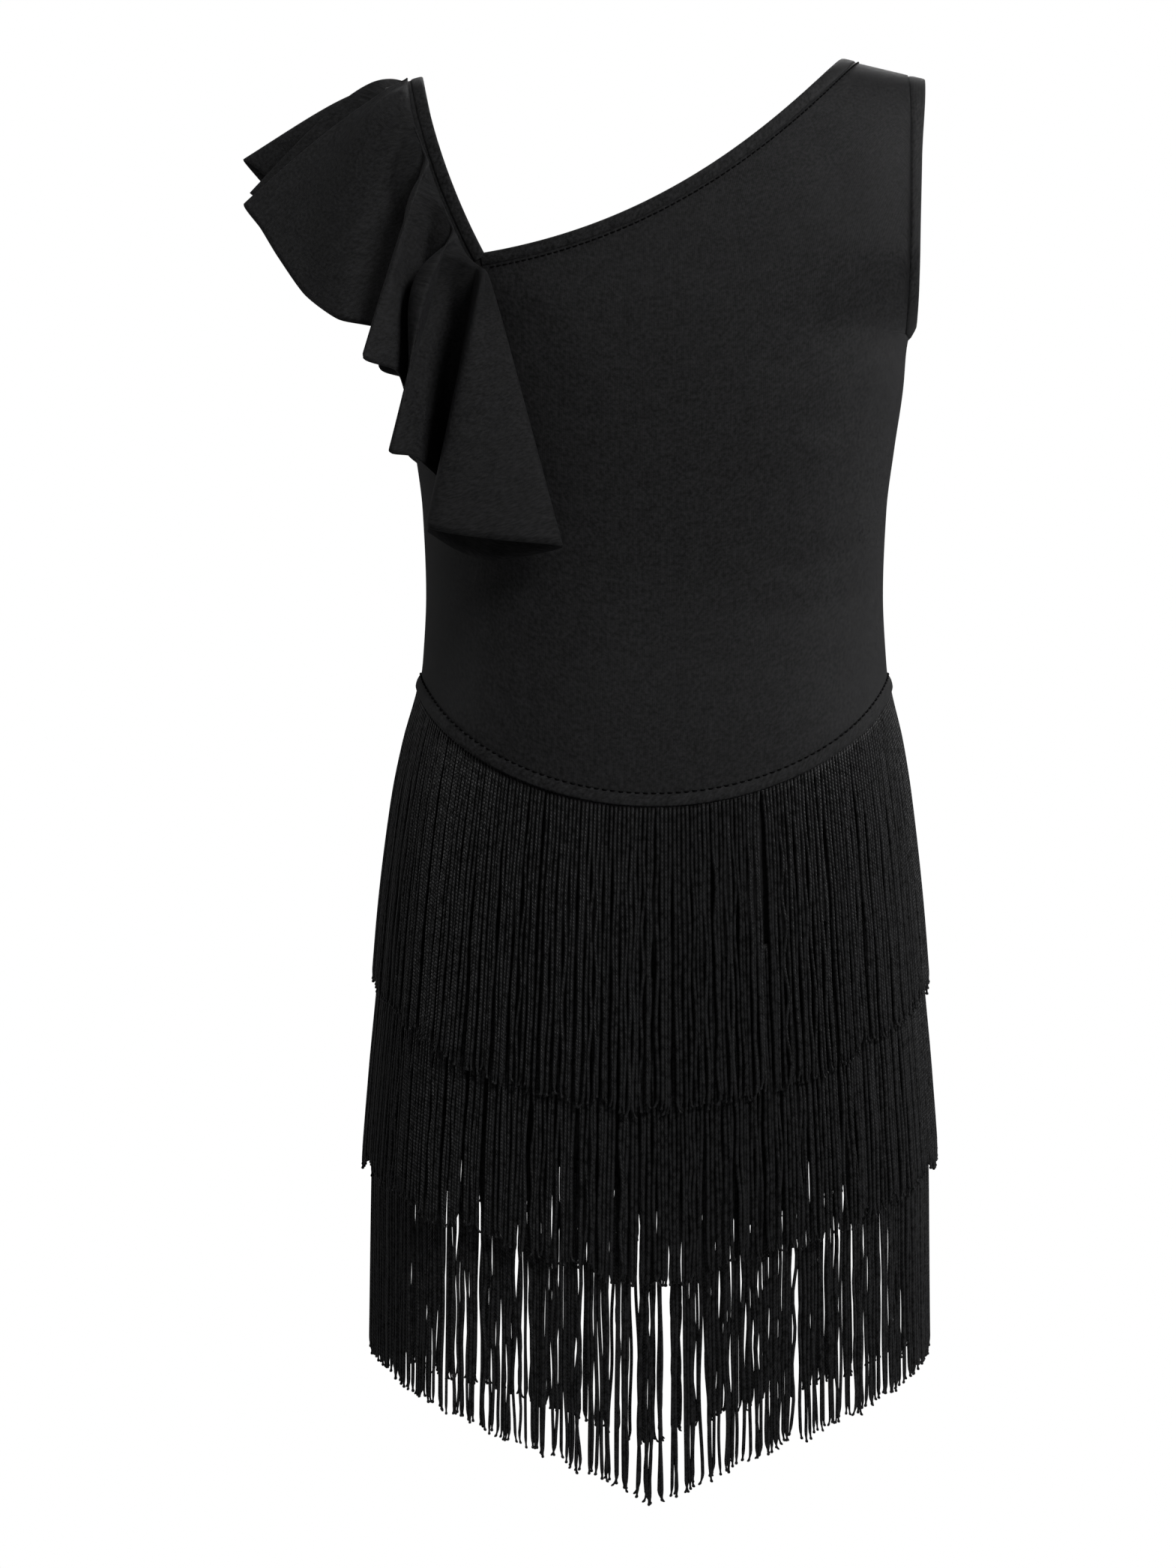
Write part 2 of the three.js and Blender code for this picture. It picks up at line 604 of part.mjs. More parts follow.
function flouncePoint(place, share) {
  const i = Math.min(Math.floor(place), FOLDS.length - 2);
  const at = THREE.MathUtils.lerp(FOLDS[i].at, FOLDS[i + 1].at, place - i);
  const offset = FLOUNCE_LIFT + Math.max(0, foldValue("stack", place));
  const root = flounceRoot(at, offset);
  const hem = new THREE.Vector3(...["x", "y", "z"].map((name) => foldValue(name, place)));
  const heading = flounceHeading(at, root, hem, offset + 1);
  const path = new THREE.QuadraticBezierCurve3(root, heading, hem);
  const outwards = new THREE.Vector3(-0.6 * (1 - Math.abs(at)), at * 1.2, 1 - Math.abs(at)).normalize();
  const bow = foldValue("bow", place) * Math.sin(Math.PI * share ** 0.8);
  return path.getPoint(share).addScaledVector(outwards, bow);
}

function flounce() {
  const last = FOLDS.length - 1;
  const places = evenly(last * FLOUNCE_STEPS).map((share) => share * last);
  const shares = evenly(FLOUNCE_ROWS).map((share) => 1 - share);
  const NUDGE = 0.02;
  const normalAt = (place, share) => {
    const before = flouncePoint(Math.max(place - NUDGE, 0), Math.max(share, NUDGE));
    const after = flouncePoint(Math.min(place + NUDGE, last), Math.max(share, NUDGE));
    const lower = flouncePoint(place, Math.min(share + NUDGE, 1));
    const upper = flouncePoint(place, Math.max(share - NUDGE, 0));
    return after.sub(before).cross(upper.sub(lower)).normalize();
  };
  const surface = (offset) =>
    shares.map((share) =>
      places.map((place) => flouncePoint(place, share).addScaledVector(normalAt(place, share), offset)),
    );
  const wall = wallBetween(surface(-FLOUNCE_CLOTH / 2), surface(FLOUNCE_CLOTH / 2));
  addPiece("shoulder_flounce", wall, jersey);
}

bodicePieces();
hipBands();
skirtPanels();
fringeTiers();
flounce();

export default dress;
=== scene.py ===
import math

import bpy
import numpy as np
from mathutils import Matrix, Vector


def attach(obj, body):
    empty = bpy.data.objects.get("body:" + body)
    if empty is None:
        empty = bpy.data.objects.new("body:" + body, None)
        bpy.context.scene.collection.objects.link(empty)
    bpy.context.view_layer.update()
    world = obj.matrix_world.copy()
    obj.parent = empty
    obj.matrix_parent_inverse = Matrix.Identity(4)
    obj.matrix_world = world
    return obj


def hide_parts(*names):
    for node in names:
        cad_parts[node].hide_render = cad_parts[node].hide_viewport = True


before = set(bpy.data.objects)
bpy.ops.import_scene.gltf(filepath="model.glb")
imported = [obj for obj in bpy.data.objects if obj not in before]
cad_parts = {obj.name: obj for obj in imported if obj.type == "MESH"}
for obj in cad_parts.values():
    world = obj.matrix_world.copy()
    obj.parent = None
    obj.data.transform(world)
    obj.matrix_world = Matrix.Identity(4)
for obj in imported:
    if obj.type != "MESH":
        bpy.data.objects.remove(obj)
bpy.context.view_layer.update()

# Bodice: a front and a back panel of black stretch jersey, cut away to one slanting neckline and
# stretched smooth. They are sewn together at the side seams and over the shoulders, and turned
# under along the curved hip seam.

MM = 0.001  # the pattern's sizes are in millimetres
CLOTH = 1.2
ROUNDNESS = 2.2
UNDERARM_Z = -133
ARMHOLE_Z = -126.5
ARMHOLE_X, ARMHOLE_SLOPE = 118.7, 0.0192
SHOULDER = {"x": 90, "z": 4.5, "slope": 0.25, "tilt": 0.016}
SHOULDER_ROUND = 4
HIP = {"side": -293.5, "dip": 57.5, "point": 0}
DIP_SHAPE = 0.8
STRAP_TOP, STRAP_BEND = (-112, 0), (-103.6, -49.7)
NECK_CORNER, NECK_BEND, NECK_END = (-80.7, -93.6), (16, -80.7), (90, 6.5)
BODY = [
    {"z": -690, "width": 130, "front": 92, "back": 97, "centre": -2.4},
    {"z": -600, "width": 130, "front": 92, "back": 98, "centre": -2.4},
    {"z": -530, "width": 130.2, "front": 92, "back": 99, "centre": -2.2},
    {"z": -480, "width": 128.8, "front": 92, "back": 99, "centre": -2},
    {"z": -440, "width": 126.8, "front": 91, "back": 98, "centre": -1.9},
    {"z": -400, "width": 125, "front": 90, "back": 96, "centre": -1.8},
    {"z": -350, "width": 121, "front": 88, "back": 91, "centre": -1.4},
    {"z": -320, "width": 117, "front": 85.5, "back": 86.5, "centre": -0.8},
    {"z": -293, "width": 111.4, "front": 82, "back": 81, "centre": -0.2},
    {"z": -280, "width": 110, "front": 80, "back": 78, "centre": 0},
    {"z": -250, "width": 108.6, "front": 78, "back": 74, "centre": 0},
    {"z": -210, "width": 110.2, "front": 80.5, "back": 75, "centre": 0},
    {"z": -180, "width": 114, "front": 83.5, "back": 78, "centre": 0},
    {"z": -150, "width": 118.4, "front": 85.5, "back": 81, "centre": 0},
    {"z": UNDERARM_Z, "width": 119.8, "front": 86, "back": 82, "centre": 0},
    {"z": -126, "width": 121.2, "front": 86, "back": 83, "centre": 0},
    {"z": -118, "width": 126.5, "front": 85.6, "back": 83.5, "centre": 0},
    {"z": -104, "width": 138.5, "front": 84, "back": 84.6, "centre": 0},
    {"z": -88, "width": 148, "front": 82, "back": 85, "centre": 0},
    {"z": -40, "width": 153, "front": 74, "back": 80, "centre": 0},
    {"z": 0, "width": 153, "front": 66, "back": 70, "centre": 0},
]
FRONT, BACK = -1, 1


def eased(t, start, end, leaving, arriving):
    """The value at t, from 0 to 1, on a smooth curve that leaves and arrives at the given slopes."""
    return (
        (2 * t**3 - 3 * t**2 + 1) * start
        + (t**3 - 2 * t**2 + t) * leaving
        + (3 * t**2 - 2 * t**3) * end
        + (t**3 - t**2) * arriving
    )


def read_curve(rows, by, column, value):
    """The value of one column of a table, read at a value of another on a smooth curve."""
    keys = np.array([row[by] for row in rows], float)
    held = np.array([row[column] for row in rows], float)
    rise = np.diff(held) / np.diff(keys)
    before, after = rise[:-1], rise[1:]
    same_way = before * after > 0
    middle = np.where(same_way, 2 * before * after / np.where(same_way, before + after, 1), 0)
    slope = np.concatenate([[rise[0]], middle, [rise[-1]]])
    i = np.clip(np.searchsorted(keys, value) - 1, 0, len(keys) - 2)
    span = keys[i + 1] - keys[i]
    t = np.clip((value - keys[i]) / span, 0, 1)
    return eased(t, held[i], held[i + 1], slope[i] * span, slope[i + 1] * span)


def rounded(value):
    return np.sign(value) * np.abs(value) ** (2 / ROUNDNESS)


def shoulder_height(x, offset):
    fall = SHOULDER["slope"] * (np.abs(x) - SHOULDER["x"])
    return SHOULDER["z"] + SHOULDER["tilt"] * x + offset - fall


def depth_at(side, section_z, offset):
    column = "front" if side == FRONT else "back"
    return read_curve(BODY, "z", column, section_z) + offset


def section_at(x, z, offset):
    """How far up the shoulder's dome a point is, and the height of the section that it lies on."""
    height = shoulder_height(x, offset)
    rise = np.clip((z - UNDERARM_Z) / (height - UNDERARM_Z), 0, 1)
    return rise, np.where(z < UNDERARM_Z, z, UNDERARM_Z * (1 - rise))


def surface_at(side, x, z, offset):
    """The point of the dress's form at x and z, seen from the front, with its cloth offset out."""
    rise, section_z = section_at(x, z, offset)
    width = read_curve(BODY, "z", "width", section_z) + offset
    centre = read_curve(BODY, "z", "centre", section_z)
    across = np.clip(1 - np.abs((x - centre) / width) ** ROUNDNESS, 0, 1) ** (1 / ROUNDNESS)
    closing = np.sqrt(1 - rise**SHOULDER_ROUND)
    y = side * depth_at(side, section_z, offset) * across * closing
    return np.stack(np.broadcast_arrays(x, y, z), -1)


def body_at(side, angle, z, offset):
    """The point of the dress's form at an angle of 0 in the middle and a quarter turn at +X."""
    x = read_curve(BODY, "z", "centre", z)
    x = x + (read_curve(BODY, "z", "width", z) + offset) * rounded(np.sin(angle))
    y = side * depth_at(side, z, offset) * rounded(np.cos(angle))
    return np.stack(np.broadcast_arrays(x, y, z), -1)


def dipping_z(row, angle):
    across = rounded(np.abs(np.sin(angle)))
    round_part = np.clip(1 - across**2, 0, 1) ** DIP_SHAPE
    return row["side"] - row["dip"] * round_part - row["point"] * (1 - across) ** 3


def neck_curve(start, bend, end, t):
    t = np.asarray(t)[..., None]
    start, bend, end = (np.array(p, float) for p in (start, bend, end))
    return start * (1 - t) ** 2 + 2 * bend * t * (1 - t) + end * t**2


def panel_top(x):
    """The height of a panel's upper edge at x: strap, neckline or shoulder line."""
    t = np.linspace(0, 1, 200)
    strap = neck_curve(STRAP_TOP, STRAP_BEND, NECK_CORNER, t)
    neck = neck_curve(NECK_CORNER, NECK_BEND, NECK_END, t)
    edge = np.concatenate([strap, neck[1:]])
    cut = np.interp(x, edge[:, 0], edge[:, 1], left=60, right=60)
    return np.minimum(cut, shoulder_height(x, CLOTH))


def armhole_x(z):
    return ARMHOLE_X + (z - ARMHOLE_Z) * ARMHOLE_SLOPE


def lengths_along(points, axis):
    steps = np.linalg.norm(np.diff(points, axis=axis), axis=-1)
    pad = [(0, 0), (0, 0)]
    pad[axis] = (1, 0)
    return np.pad(np.cumsum(steps, axis=axis), pad)


def cloth_piece(name, grid, material, thickness, closed=False):
    """A shell of cloth from a grid of points in millimetres. Its UVs are metres along the cloth."""
    rows, columns = grid.shape[:2]
    across = lengths_along(grid, 1)
    across = across - across[:, columns // 2 : columns // 2 + 1]
    along = lengths_along(grid, 0)
    index = np.arange(rows * columns).reshape(rows, columns)
    if closed:
        index = np.concatenate([index, index[:1]])
        along = np.concatenate([along, along[-1:] + along[1:2]])
        across = np.concatenate([across, across[:1]])
    quads = np.stack([index[:-1, :-1], index[:-1, 1:], index[1:, 1:], index[1:, :-1]], -1)
    mesh = bpy.data.meshes.new(name)
    mesh.from_pydata((grid.reshape(-1, 3) * MM).tolist(), [], quads.reshape(-1, 4).tolist())
    uv = np.stack([across, along], -1)
    corners = np.stack([uv[:-1, :-1], uv[:-1, 1:], uv[1:, 1:], uv[1:, :-1]], 2)
    layer = mesh.uv_layers.new(name="cloth")
    layer.uv.foreach_set("vector", (corners.reshape(-1) * MM).tolist())
    mesh.shade_smooth()
    mesh.materials.append(material)
    piece = bpy.data.objects.new(name, mesh)
    bpy.context.collection.objects.link(piece)
    if thickness:
        wall = piece.modifiers.new("cloth thickness", "SOLIDIFY")
        wall.thickness = thickness * MM
        wall.offset = 0
    return piece


def add_socket(group, name, way, default=None):
    socket = group.interface.new_socket(name=name, in_out=way, socket_type="NodeSocketFloat")
    if default is not None:
        socket.default_value = default


def set_inputs(node, values):
    for name, value in values.items():
        node.inputs[name].default_value = value


def sums_in(tree):
    """A function that adds a Math node to the tree and gives its result."""

    def work_out(operation, first, second=None):
        node = tree.nodes.new("ShaderNodeMath")
        node.operation = operation
        for socket, value in zip(node.inputs, (first, second)):
            if isinstance(value, (int, float)):
                socket.default_value = value
            elif value is not None:
                tree.links.new(value, socket)
        return node.outputs[0]

    return work_out


def make_jersey_knit():
    """Fine single jersey: wales that run up the cloth, the loops in them, and a soft fuzz."""
    group = bpy.data.node_groups.new("jersey knit", "ShaderNodeTree")
    add_socket(group, "Wale Pitch", "INPUT", 0.0006)
    add_socket(group, "Loop Pitch", "INPUT", 0.0005)
    add_socket(group, "Mottle", "INPUT", 0.22)
    add_socket(group, "Shade", "OUTPUT")
    add_socket(group, "Height", "OUTPUT")
    nodes, links, work_out = group.nodes, group.links, sums_in(group)
    inside = nodes.new("NodeGroupInput")
    outside = nodes.new("NodeGroupOutput")
    place = nodes.new("ShaderNodeUVMap")
    place.uv_map = "cloth"
    parts = nodes.new("ShaderNodeSeparateXYZ")
    links.new(place.outputs["UV"], parts.inputs[0])
    wale = work_out("DIVIDE", parts.outputs["X"], inside.outputs["Wale Pitch"])
    loop = work_out("DIVIDE", parts.outputs["Y"], inside.outputs["Loop Pitch"])
    rib = work_out("ABSOLUTE", work_out("SINE", work_out("MULTIPLY", wale, math.pi)))
    lean = work_out("MULTIPLY", work_out("PINGPONG", wale, 0.5), 2.0)
    row = work_out("SINE", work_out("MULTIPLY", work_out("ADD", loop, lean), 2 * math.pi))
    stitch = work_out("MULTIPLY", rib, work_out("ADD", work_out("MULTIPLY", row, 0.3), 0.7))
    grain = nodes.new("ShaderNodeTexNoise")
    set_inputs(grain, {"Scale": 560, "Detail": 5, "Roughness": 0.65})
    links.new(place.outputs["UV"], grain.inputs["Vector"])
    cloud = nodes.new("ShaderNodeTexNoise")
    set_inputs(cloud, {"Scale": 130, "Detail": 4})
    links.new(place.outputs["UV"], cloud.inputs["Vector"])
    mix = nodes.new("ShaderNodeMix")
    links.new(inside.outputs["Mottle"], mix.inputs["Factor"])
    speckle = work_out("MULTIPLY", work_out("SUBTRACT", grain.outputs["Fac"], 0.4), 4.6)
    drift = work_out("MULTIPLY", work_out("SUBTRACT", cloud.outputs["Fac"], 0.33), 3.0)
    worn = work_out("MULTIPLY", speckle, work_out("ADD", work_out("MULTIPLY", stitch, 0.5), 0.6))
    links.new(worn, mix.inputs["A"])
    links.new(drift, mix.inputs["B"])
    links.new(mix.outputs["Result"], outside.inputs["Shade"])
    fuzz = work_out("MULTIPLY", grain.outputs["Fac"], 0.8)
    links.new(work_out("ADD", stitch, fuzz), outside.inputs["Height"])
    return group


def knitted_material(name, knit, knit_inputs, shader_inputs, tones, roughness, bump):
    """A knitted cloth with a dull satin face: the knit tones it, roughens it and lifts it."""
    material = bpy.data.materials.new(name)
    material.use_nodes = True
    tree = material.node_tree
    shader = tree.nodes["Principled BSDF"]
    set_inputs(shader, shader_inputs)
    face = tree.nodes.new("ShaderNodeGroup")
    face.node_tree = knit
    set_inputs(face, knit_inputs)
    tone = tree.nodes.new("ShaderNodeMix")
    tone.data_type = "RGBA"
    set_inputs(tone, {"A": (*tones[0], 1), "B": (*tones[1], 1)})
    rough = tree.nodes.new("ShaderNodeMapRange")
    set_inputs(rough, {"To Min": roughness[0], "To Max": roughness[1]})
    lift = tree.nodes.new("ShaderNodeBump")
    set_inputs(lift, {"Strength": bump[0], "Distance": bump[1]})
    tree.links.new(face.outputs["Shade"], tone.inputs["Factor"])
    tree.links.new(tone.outputs["Result"], shader.inputs["Base Color"])
    tree.links.new(face.outputs["Shade"], rough.inputs["Value"])
    tree.links.new(rough.outputs["Result"], shader.inputs["Roughness"])
    tree.links.new(face.outputs["Height"], lift.inputs["Height"])
    tree.links.new(lift.outputs["Normal"], shader.inputs["Normal"])
    return material


JERSEY_SHINE = {
    "Specular IOR Level": 0.13,
    "Sheen Weight": 0.04,
    "Sheen Roughness": 0.4,
    "Sheen Tint": (0.8, 0.8, 0.84, 1),
}
JERSEY_ROUGHNESS = (0.52, 0.68)
jersey_knit = make_jersey_knit()
jersey = knitted_material(
    "black jersey",
    jersey_knit,
    {"Wale Pitch": 0.0006, "Loop Pitch": 0.0005},
    JERSEY_SHINE,
    tones=((0.008, 0.008, 0.0083), (0.031, 0.031, 0.0321)),
    roughness=JERSEY_ROUGHNESS,
    bump=(0.9, 0.00012),
)

# The soft creases of a worn bodice. Each runs between two places seen from the front.
FRONT_CREASES = [
    {"x": 84, "z": -118, "to_x": 46, "to_z": -150, "wide": 9, "deep": -0.9},
    {"x": 100, "z": -150, "to_x": 70, "to_z": -176, "wide": 8, "deep": -0.6},
    {"x": -66, "z": -100, "to_x": -24, "to_z": -170, "wide": 12, "deep": 0.7},
    {"x": 96, "z": -226, "to_x": 52, "to_z": -240, "wide": 8, "deep": -0.8},
    {"x": 98, "z": -246, "to_x": 40, "to_z": -262, "wide": 9, "deep": -0.7},
    {"x": -98, "z": -236, "to_x": -50, "to_z": -252, "wide": 8, "deep": -0.8},
    {"x": 60, "z": -30, "to_x": 92, "to_z": -76, "wide": 10, "deep": -0.5},
]
BACK_CREASES = [
    {"x": 96, "z": -222, "to_x": 34, "to_z": -238, "wide": 9, "deep": -1.1},
    {"x": -97, "z": -228, "to_x": -30, "to_z": -243, "wide": 8, "deep": -1.0},
    {"x": 90, "z": -246, "to_x": 20, "to_z": -254, "wide": 9, "deep": -0.9},
    {"x": -92, "z": -208, "to_x": -44, "to_z": -220, "wide": 8, "deep": -0.7},
    {"x": 86, "z": -120, "to_x": 44, "to_z": -148, "wide": 9, "deep": -0.8},
    {"x": -84, "z": -122, "to_x": -40, "to_z": -156, "wide": 9, "deep": -0.8},
]
CREASE_BOW = 5


def crease_depth(x, z, creases):
    depth = np.zeros_like(x)
    for crease in creases:
        start = np.array([crease["x"], crease["z"]], float)
        along = np.array([crease["to_x"], crease["to_z"]], float) - start
        length = np.linalg.norm(along)
        along /= length
        run = (x - start[0]) * along[0] + (z - start[1]) * along[1]
        off = (z - start[1]) * along[0] - (x - start[0]) * along[1]
        off = off - CREASE_BOW * np.sin(math.pi * np.clip(run / length, 0, 1))
        ends = np.clip(np.minimum(run, length - run) / (0.4 * length) + 0.35, 0, 1)
        depth += crease["deep"] * ends**2 * (3 - 2 * ends) * np.exp(-((off / crease["wide"]) ** 2))
    return depth


PANEL_COLUMNS, ROWS_BELOW, ROWS_ABOVE = 133, 68, 56
HIP_TURN = 1.5
ROW_GAP = 0.2  # from the foot of the armhole to the rows below and above it
EASING = 70  # how far down the columns ease over from the armhole's edge to the side seam


def bodice_panel(name, side, creases):
    spread = rounded(np.sin(np.linspace(-math.pi / 2, math.pi / 2, PANEL_COLUMNS)))
    for x in (STRAP_TOP[0], NECK_CORNER[0], NECK_END[0]):
        corner = x / armhole_x(panel_top(x + 0.01))
        spread[np.argmin(np.abs(spread - corner))] = corner
    top = np.full_like(spread, -60.0)
    for _ in range(12):
        top = panel_top(spread * armhole_x(top))
    angle = np.arcsin(np.clip(np.sign(spread) * np.abs(spread) ** (ROUNDNESS / 2), -1, 1))
    hem = dipping_z(HIP, angle) + HIP_TURN
    below = np.linspace(0, 1, ROWS_BELOW)[:, None]
    above = 1 - (1 - np.linspace(0, 1, ROWS_ABOVE)[:, None]) ** 1.5
    low = hem + (ARMHOLE_Z - ROW_GAP - hem) * below
    high = ARMHOLE_Z + ROW_GAP + (top - ARMHOLE_Z - ROW_GAP) * above
    seam_x = armhole_x(low) * spread
    for _ in range(4):
        section_z = section_at(seam_x, low, CLOTH / 2)[1]
        width = read_curve(BODY, "z", "width", section_z) + CLOTH / 2
        seam_x = read_curve(BODY, "z", "centre", section_z) + width * spread
    inner = armhole_x(low) * spread - seam_x
    fade = np.clip(1 - (ARMHOLE_Z - low) / EASING, 0, 1) ** 2
    inner = inner * fade * np.clip((1 - np.abs(spread)) / 0.1, 0, 1)
    x = np.concatenate([seam_x + inner, armhole_x(high) * spread])
    z = np.concatenate([low, high])
    offset = CLOTH / 2 + crease_depth(x, z, creases) * np.clip((1 - np.abs(spread)) / 0.12, 0, 1)
    grid = surface_at(side, x, z, offset)
    return cloth_piece(name, grid if side == FRONT else grid[:, ::-1], jersey, CLOTH * 0.75)


bodice_front = bodice_panel("bodice_front_cloth", FRONT, FRONT_CREASES)
bodice_back = bodice_panel("bodice_back_cloth", BACK, BACK_CREASES)
for piece, node in ((bodice_front, "bodice_front"), (bodice_back, "bodice_back")):
    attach(piece, "root")
    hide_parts(node)

# Armhole bindings: a folded strip of the same jersey round each armhole, sewn over the raw edge, so
# that it stands a little proud and leaves a narrow ditch beside the panel.

BINDING_EDGE = [
    {"z": -139, "x": 125.5},
    {"z": -120, "x": 124.2},
    {"z": -100, "x": 124},
    {"z": -46, "x": 125.3},
    {"z": -12, "x": 128},
    {"z": 20, "x": 130},
]
EDGE_INSET, FOOT_INSET = 0.4, 0.8
FOOT_POINTS, EDGE_POINTS = 60, 300
SHOULDER_SPAN = (-60, 20)  # the heights between which an edge meets the shoulder
BINDING_RISE = 1.5
edge_jersey = knitted_material(
    "jersey edges",
    jersey_knit,
    {"Wale Pitch": 0.00051, "Loop Pitch": 0.000425},
    JERSEY_SHINE,
    tones=((0.006, 0.006, 0.0062), (0.034, 0.034, 0.0352)),
    roughness=JERSEY_ROUGHNESS,
    bump=(0.8, 0.00012),
)
# A band's section: the place across it, from one edge to the other, and how far its face is lifted
BAND_SECTION = [
    {"across": 0.02, "lift": 0.0},
    {"across": 0.0, "lift": 0.3},
    {"across": 0.05, "lift": 0.72},
    {"across": 0.18, "lift": 0.95},
    {"across": 0.4, "lift": 1.0},
    {"across": 0.62, "lift": 1.0},
    {"across": 0.84, "lift": 0.92},
    {"across": 0.96, "lift": 0.66},
    {"across": 1.0, "lift": 0.3},
    {"across": 0.98, "lift": 0.0},
    {"across": 0.5, "lift": -0.15},
    {"across": 0.02, "lift": 0.0},
]


def unit(vectors):
    return vectors / np.maximum(np.linalg.norm(vectors, axis=-1, keepdims=True), 1e-9)


def run_along(line):
    """How far along a line each of its points is."""
    return np.concatenate([[0], np.cumsum(np.linalg.norm(np.diff(line, axis=0), axis=1))])


def points_at(line, run, wanted):
    return np.stack([np.interp(wanted, run, column) for column in line.T], -1)


def at_even_steps(line, count):
    """The same line with its points spread evenly along it."""
    run = run_along(line)
    return points_at(line, run, np.linspace(0, run[-1], count))


def crossing(reached, low, high):
    """The height between low and high up to which reached(z) holds."""
    for _ in range(40):
        middle = (low + high) / 2
        low, high = (middle, high) if reached(middle) else (low, middle)
    return low


def panel_side_of_binding(side, side_x):
    """Across the bottom of the armhole from the side seam, round its corner and up to the shoulder."""
    corner_x = armhole_x(ARMHOLE_Z) - EDGE_INSET
    foot_z = ARMHOLE_Z - FOOT_INSET
    width = read_curve(BODY, "z", "width", foot_z)
    bottom = np.linspace(width, corner_x, FOOT_POINTS)
    head = crossing(lambda z: z < shoulder_height(side_x * armhole_x(z), 0), *SHOULDER_SPAN)
    z = np.linspace(foot_z, head, 200)[1:]
    x = np.concatenate([bottom, armhole_x(z) - EDGE_INSET])
    line = surface_at(side, side_x * x, np.concatenate([np.full(FOOT_POINTS, foot_z), z]), 0)
    line[[0, -1], 1] = 0
    line = at_even_steps(line, EDGE_POINTS)
    for _ in range(30):
        line[1:-1] = (line[:-2] + line[1:-1] * 2 + line[2:]) / 4
    return line


def open_side_of_binding(side, side_x):
    def edge(z):
        return side_x * read_curve(BINDING_EDGE, "z", "x", z)

    foot = crossing(lambda z: read_curve(BODY, "z", "width", z) < abs(edge(z)), -128, -100)
    head = crossing(lambda z: z < shoulder_height(edge(z), 0), *SHOULDER_SPAN)
    z = foot + (head - foot) * np.linspace(0, 1, EDGE_POINTS) ** 2
    line = surface_at(side, edge(z), z, 0)
    line[[0, -1], 1] = 0
    return line


def armhole_binding(name, node, side_x):
    loops = []
    for line_on in (panel_side_of_binding, open_side_of_binding):
        front, back = (at_even_steps(line_on(side, side_x), 90) for side in (FRONT, BACK))
        loops.append(np.concatenate([front, back[::-1][1:-1]]))
    inner, outer = loops
    outwards = unit(np.stack([side_x * 0.6 + inner[:, 0] * 0, inner[:, 1] / 40, inner[:, 0] * 0], -1))
    outwards[:, 2] = np.clip((inner[:, 2] + 30) / 40, 0, 1) ** 2
    outwards = unit(outwards)
    lines = [
        inner + (outer - inner) * row["across"] + outwards * (CLOTH * 0.4 + BINDING_RISE * row["lift"])
        for row in BAND_SECTION
    ]
    grid = np.stack(lines, 1)
    piece = cloth_piece(name, grid if side_x > 0 else grid[:, ::-1], edge_jersey, 0, closed=True)
    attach(piece, "root")
    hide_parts(node)
    return piece


bare_binding = armhole_binding("bare_armhole_binding", "armhole_binding_bare_side", 1)
flounce_binding = armhole_binding("flounce_armhole_binding", "armhole_binding_flounce_side", -1)


# Neck band and strap band: the edges of the neckline are turned and bound with jersey. The neck band
# runs from the front corner over the bare shoulder to the back corner, with one row of stitches whose
# thread is darkened as painted shade of their holes, and the strap band runs over the other shoulder,
# beside the flounce.

BAND, BAND_RISE, BAND_LAP = 5.5, 1.1, 0.6
CORNER_OVERLAP = 1.2
NECK_STITCH, HIP_STITCH = 3.1, 3.8
THREAD_LENGTH, THREAD_RADIUS = 2.3, 0.38
THREAD_RISE = (-0.35, 0.12, 0.2, 0.12, -0.35)
ROUND_SIDES = 6  # of a thread or a strand
SEAM_ACROSS = 1.2  # the neck's row of stitches, in widths of the band


def shifted_right(path, distance):
    heading = unit(np.gradient(path, axis=0))
    return path + distance * np.stack([heading[:, 1], -heading[:, 0]], -1)


def over_shoulder(path, offset):
    """A front-view path up to the shoulder, laid on the front, over the top and down the back."""
    above = path[:, 1] - shoulder_height(path[:, 0], offset)
    passed = int(np.argmax(above > 0))
    share = -above[passed - 1] / (above[passed] - above[passed - 1])
    last = path[passed - 1] + share * (path[passed] - path[passed - 1])
    kept = np.concatenate([path[:passed], last[None]])
    run = run_along(kept)
    wanted = run[-1] * (1 - (1 - np.linspace(0, 1, 110)) ** 1.6)
    x, z = points_at(kept, run, wanted).T
    front = surface_at(FRONT, x, z, offset)
    back = surface_at(BACK, x, z, offset)
    front[-1, 1] = 0
    return np.concatenate([front, back[::-1][1:]])


def extended(path, length):
    step = unit(path[-1] - path[-2])
    start = unit(path[0] - path[1])
    return np.concatenate([path[:1] + start * CORNER_OVERLAP, path, path[-1:] + step * length])


PAST_SHOULDER = 40
fine = np.linspace(0, 1, 160)
neck_path = extended(neck_curve(NECK_CORNER, NECK_BEND, NECK_END, fine), PAST_SHOULDER)
strap_path = extended(neck_curve(NECK_CORNER, STRAP_BEND, STRAP_TOP, fine), PAST_SHOULDER)


def neck_line(path, across, offset):
    inward = 1 if path is neck_path else -1
    return over_shoulder(shifted_right(path, inward * (across * (BAND + BAND_LAP) - BAND_LAP)), offset)


def edge_band(name, path, nodes):
    lines = [
        neck_line(path, row["across"], CLOTH * 0.5 + BAND_RISE * row["lift"])
        for row in BAND_SECTION
    ]
    grid = np.stack(lines, 1)
    piece = cloth_piece(name, grid[:, ::-1] if path is neck_path else grid, edge_jersey, 0)
    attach(piece, "root")
    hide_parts(*nodes)
    return piece


neck_band = edge_band("neck_band_cloth", neck_path, ("neck_band_front", "neck_band_back"))
strap_band = edge_band("strap_band_cloth", strap_path, ("strap_band",))
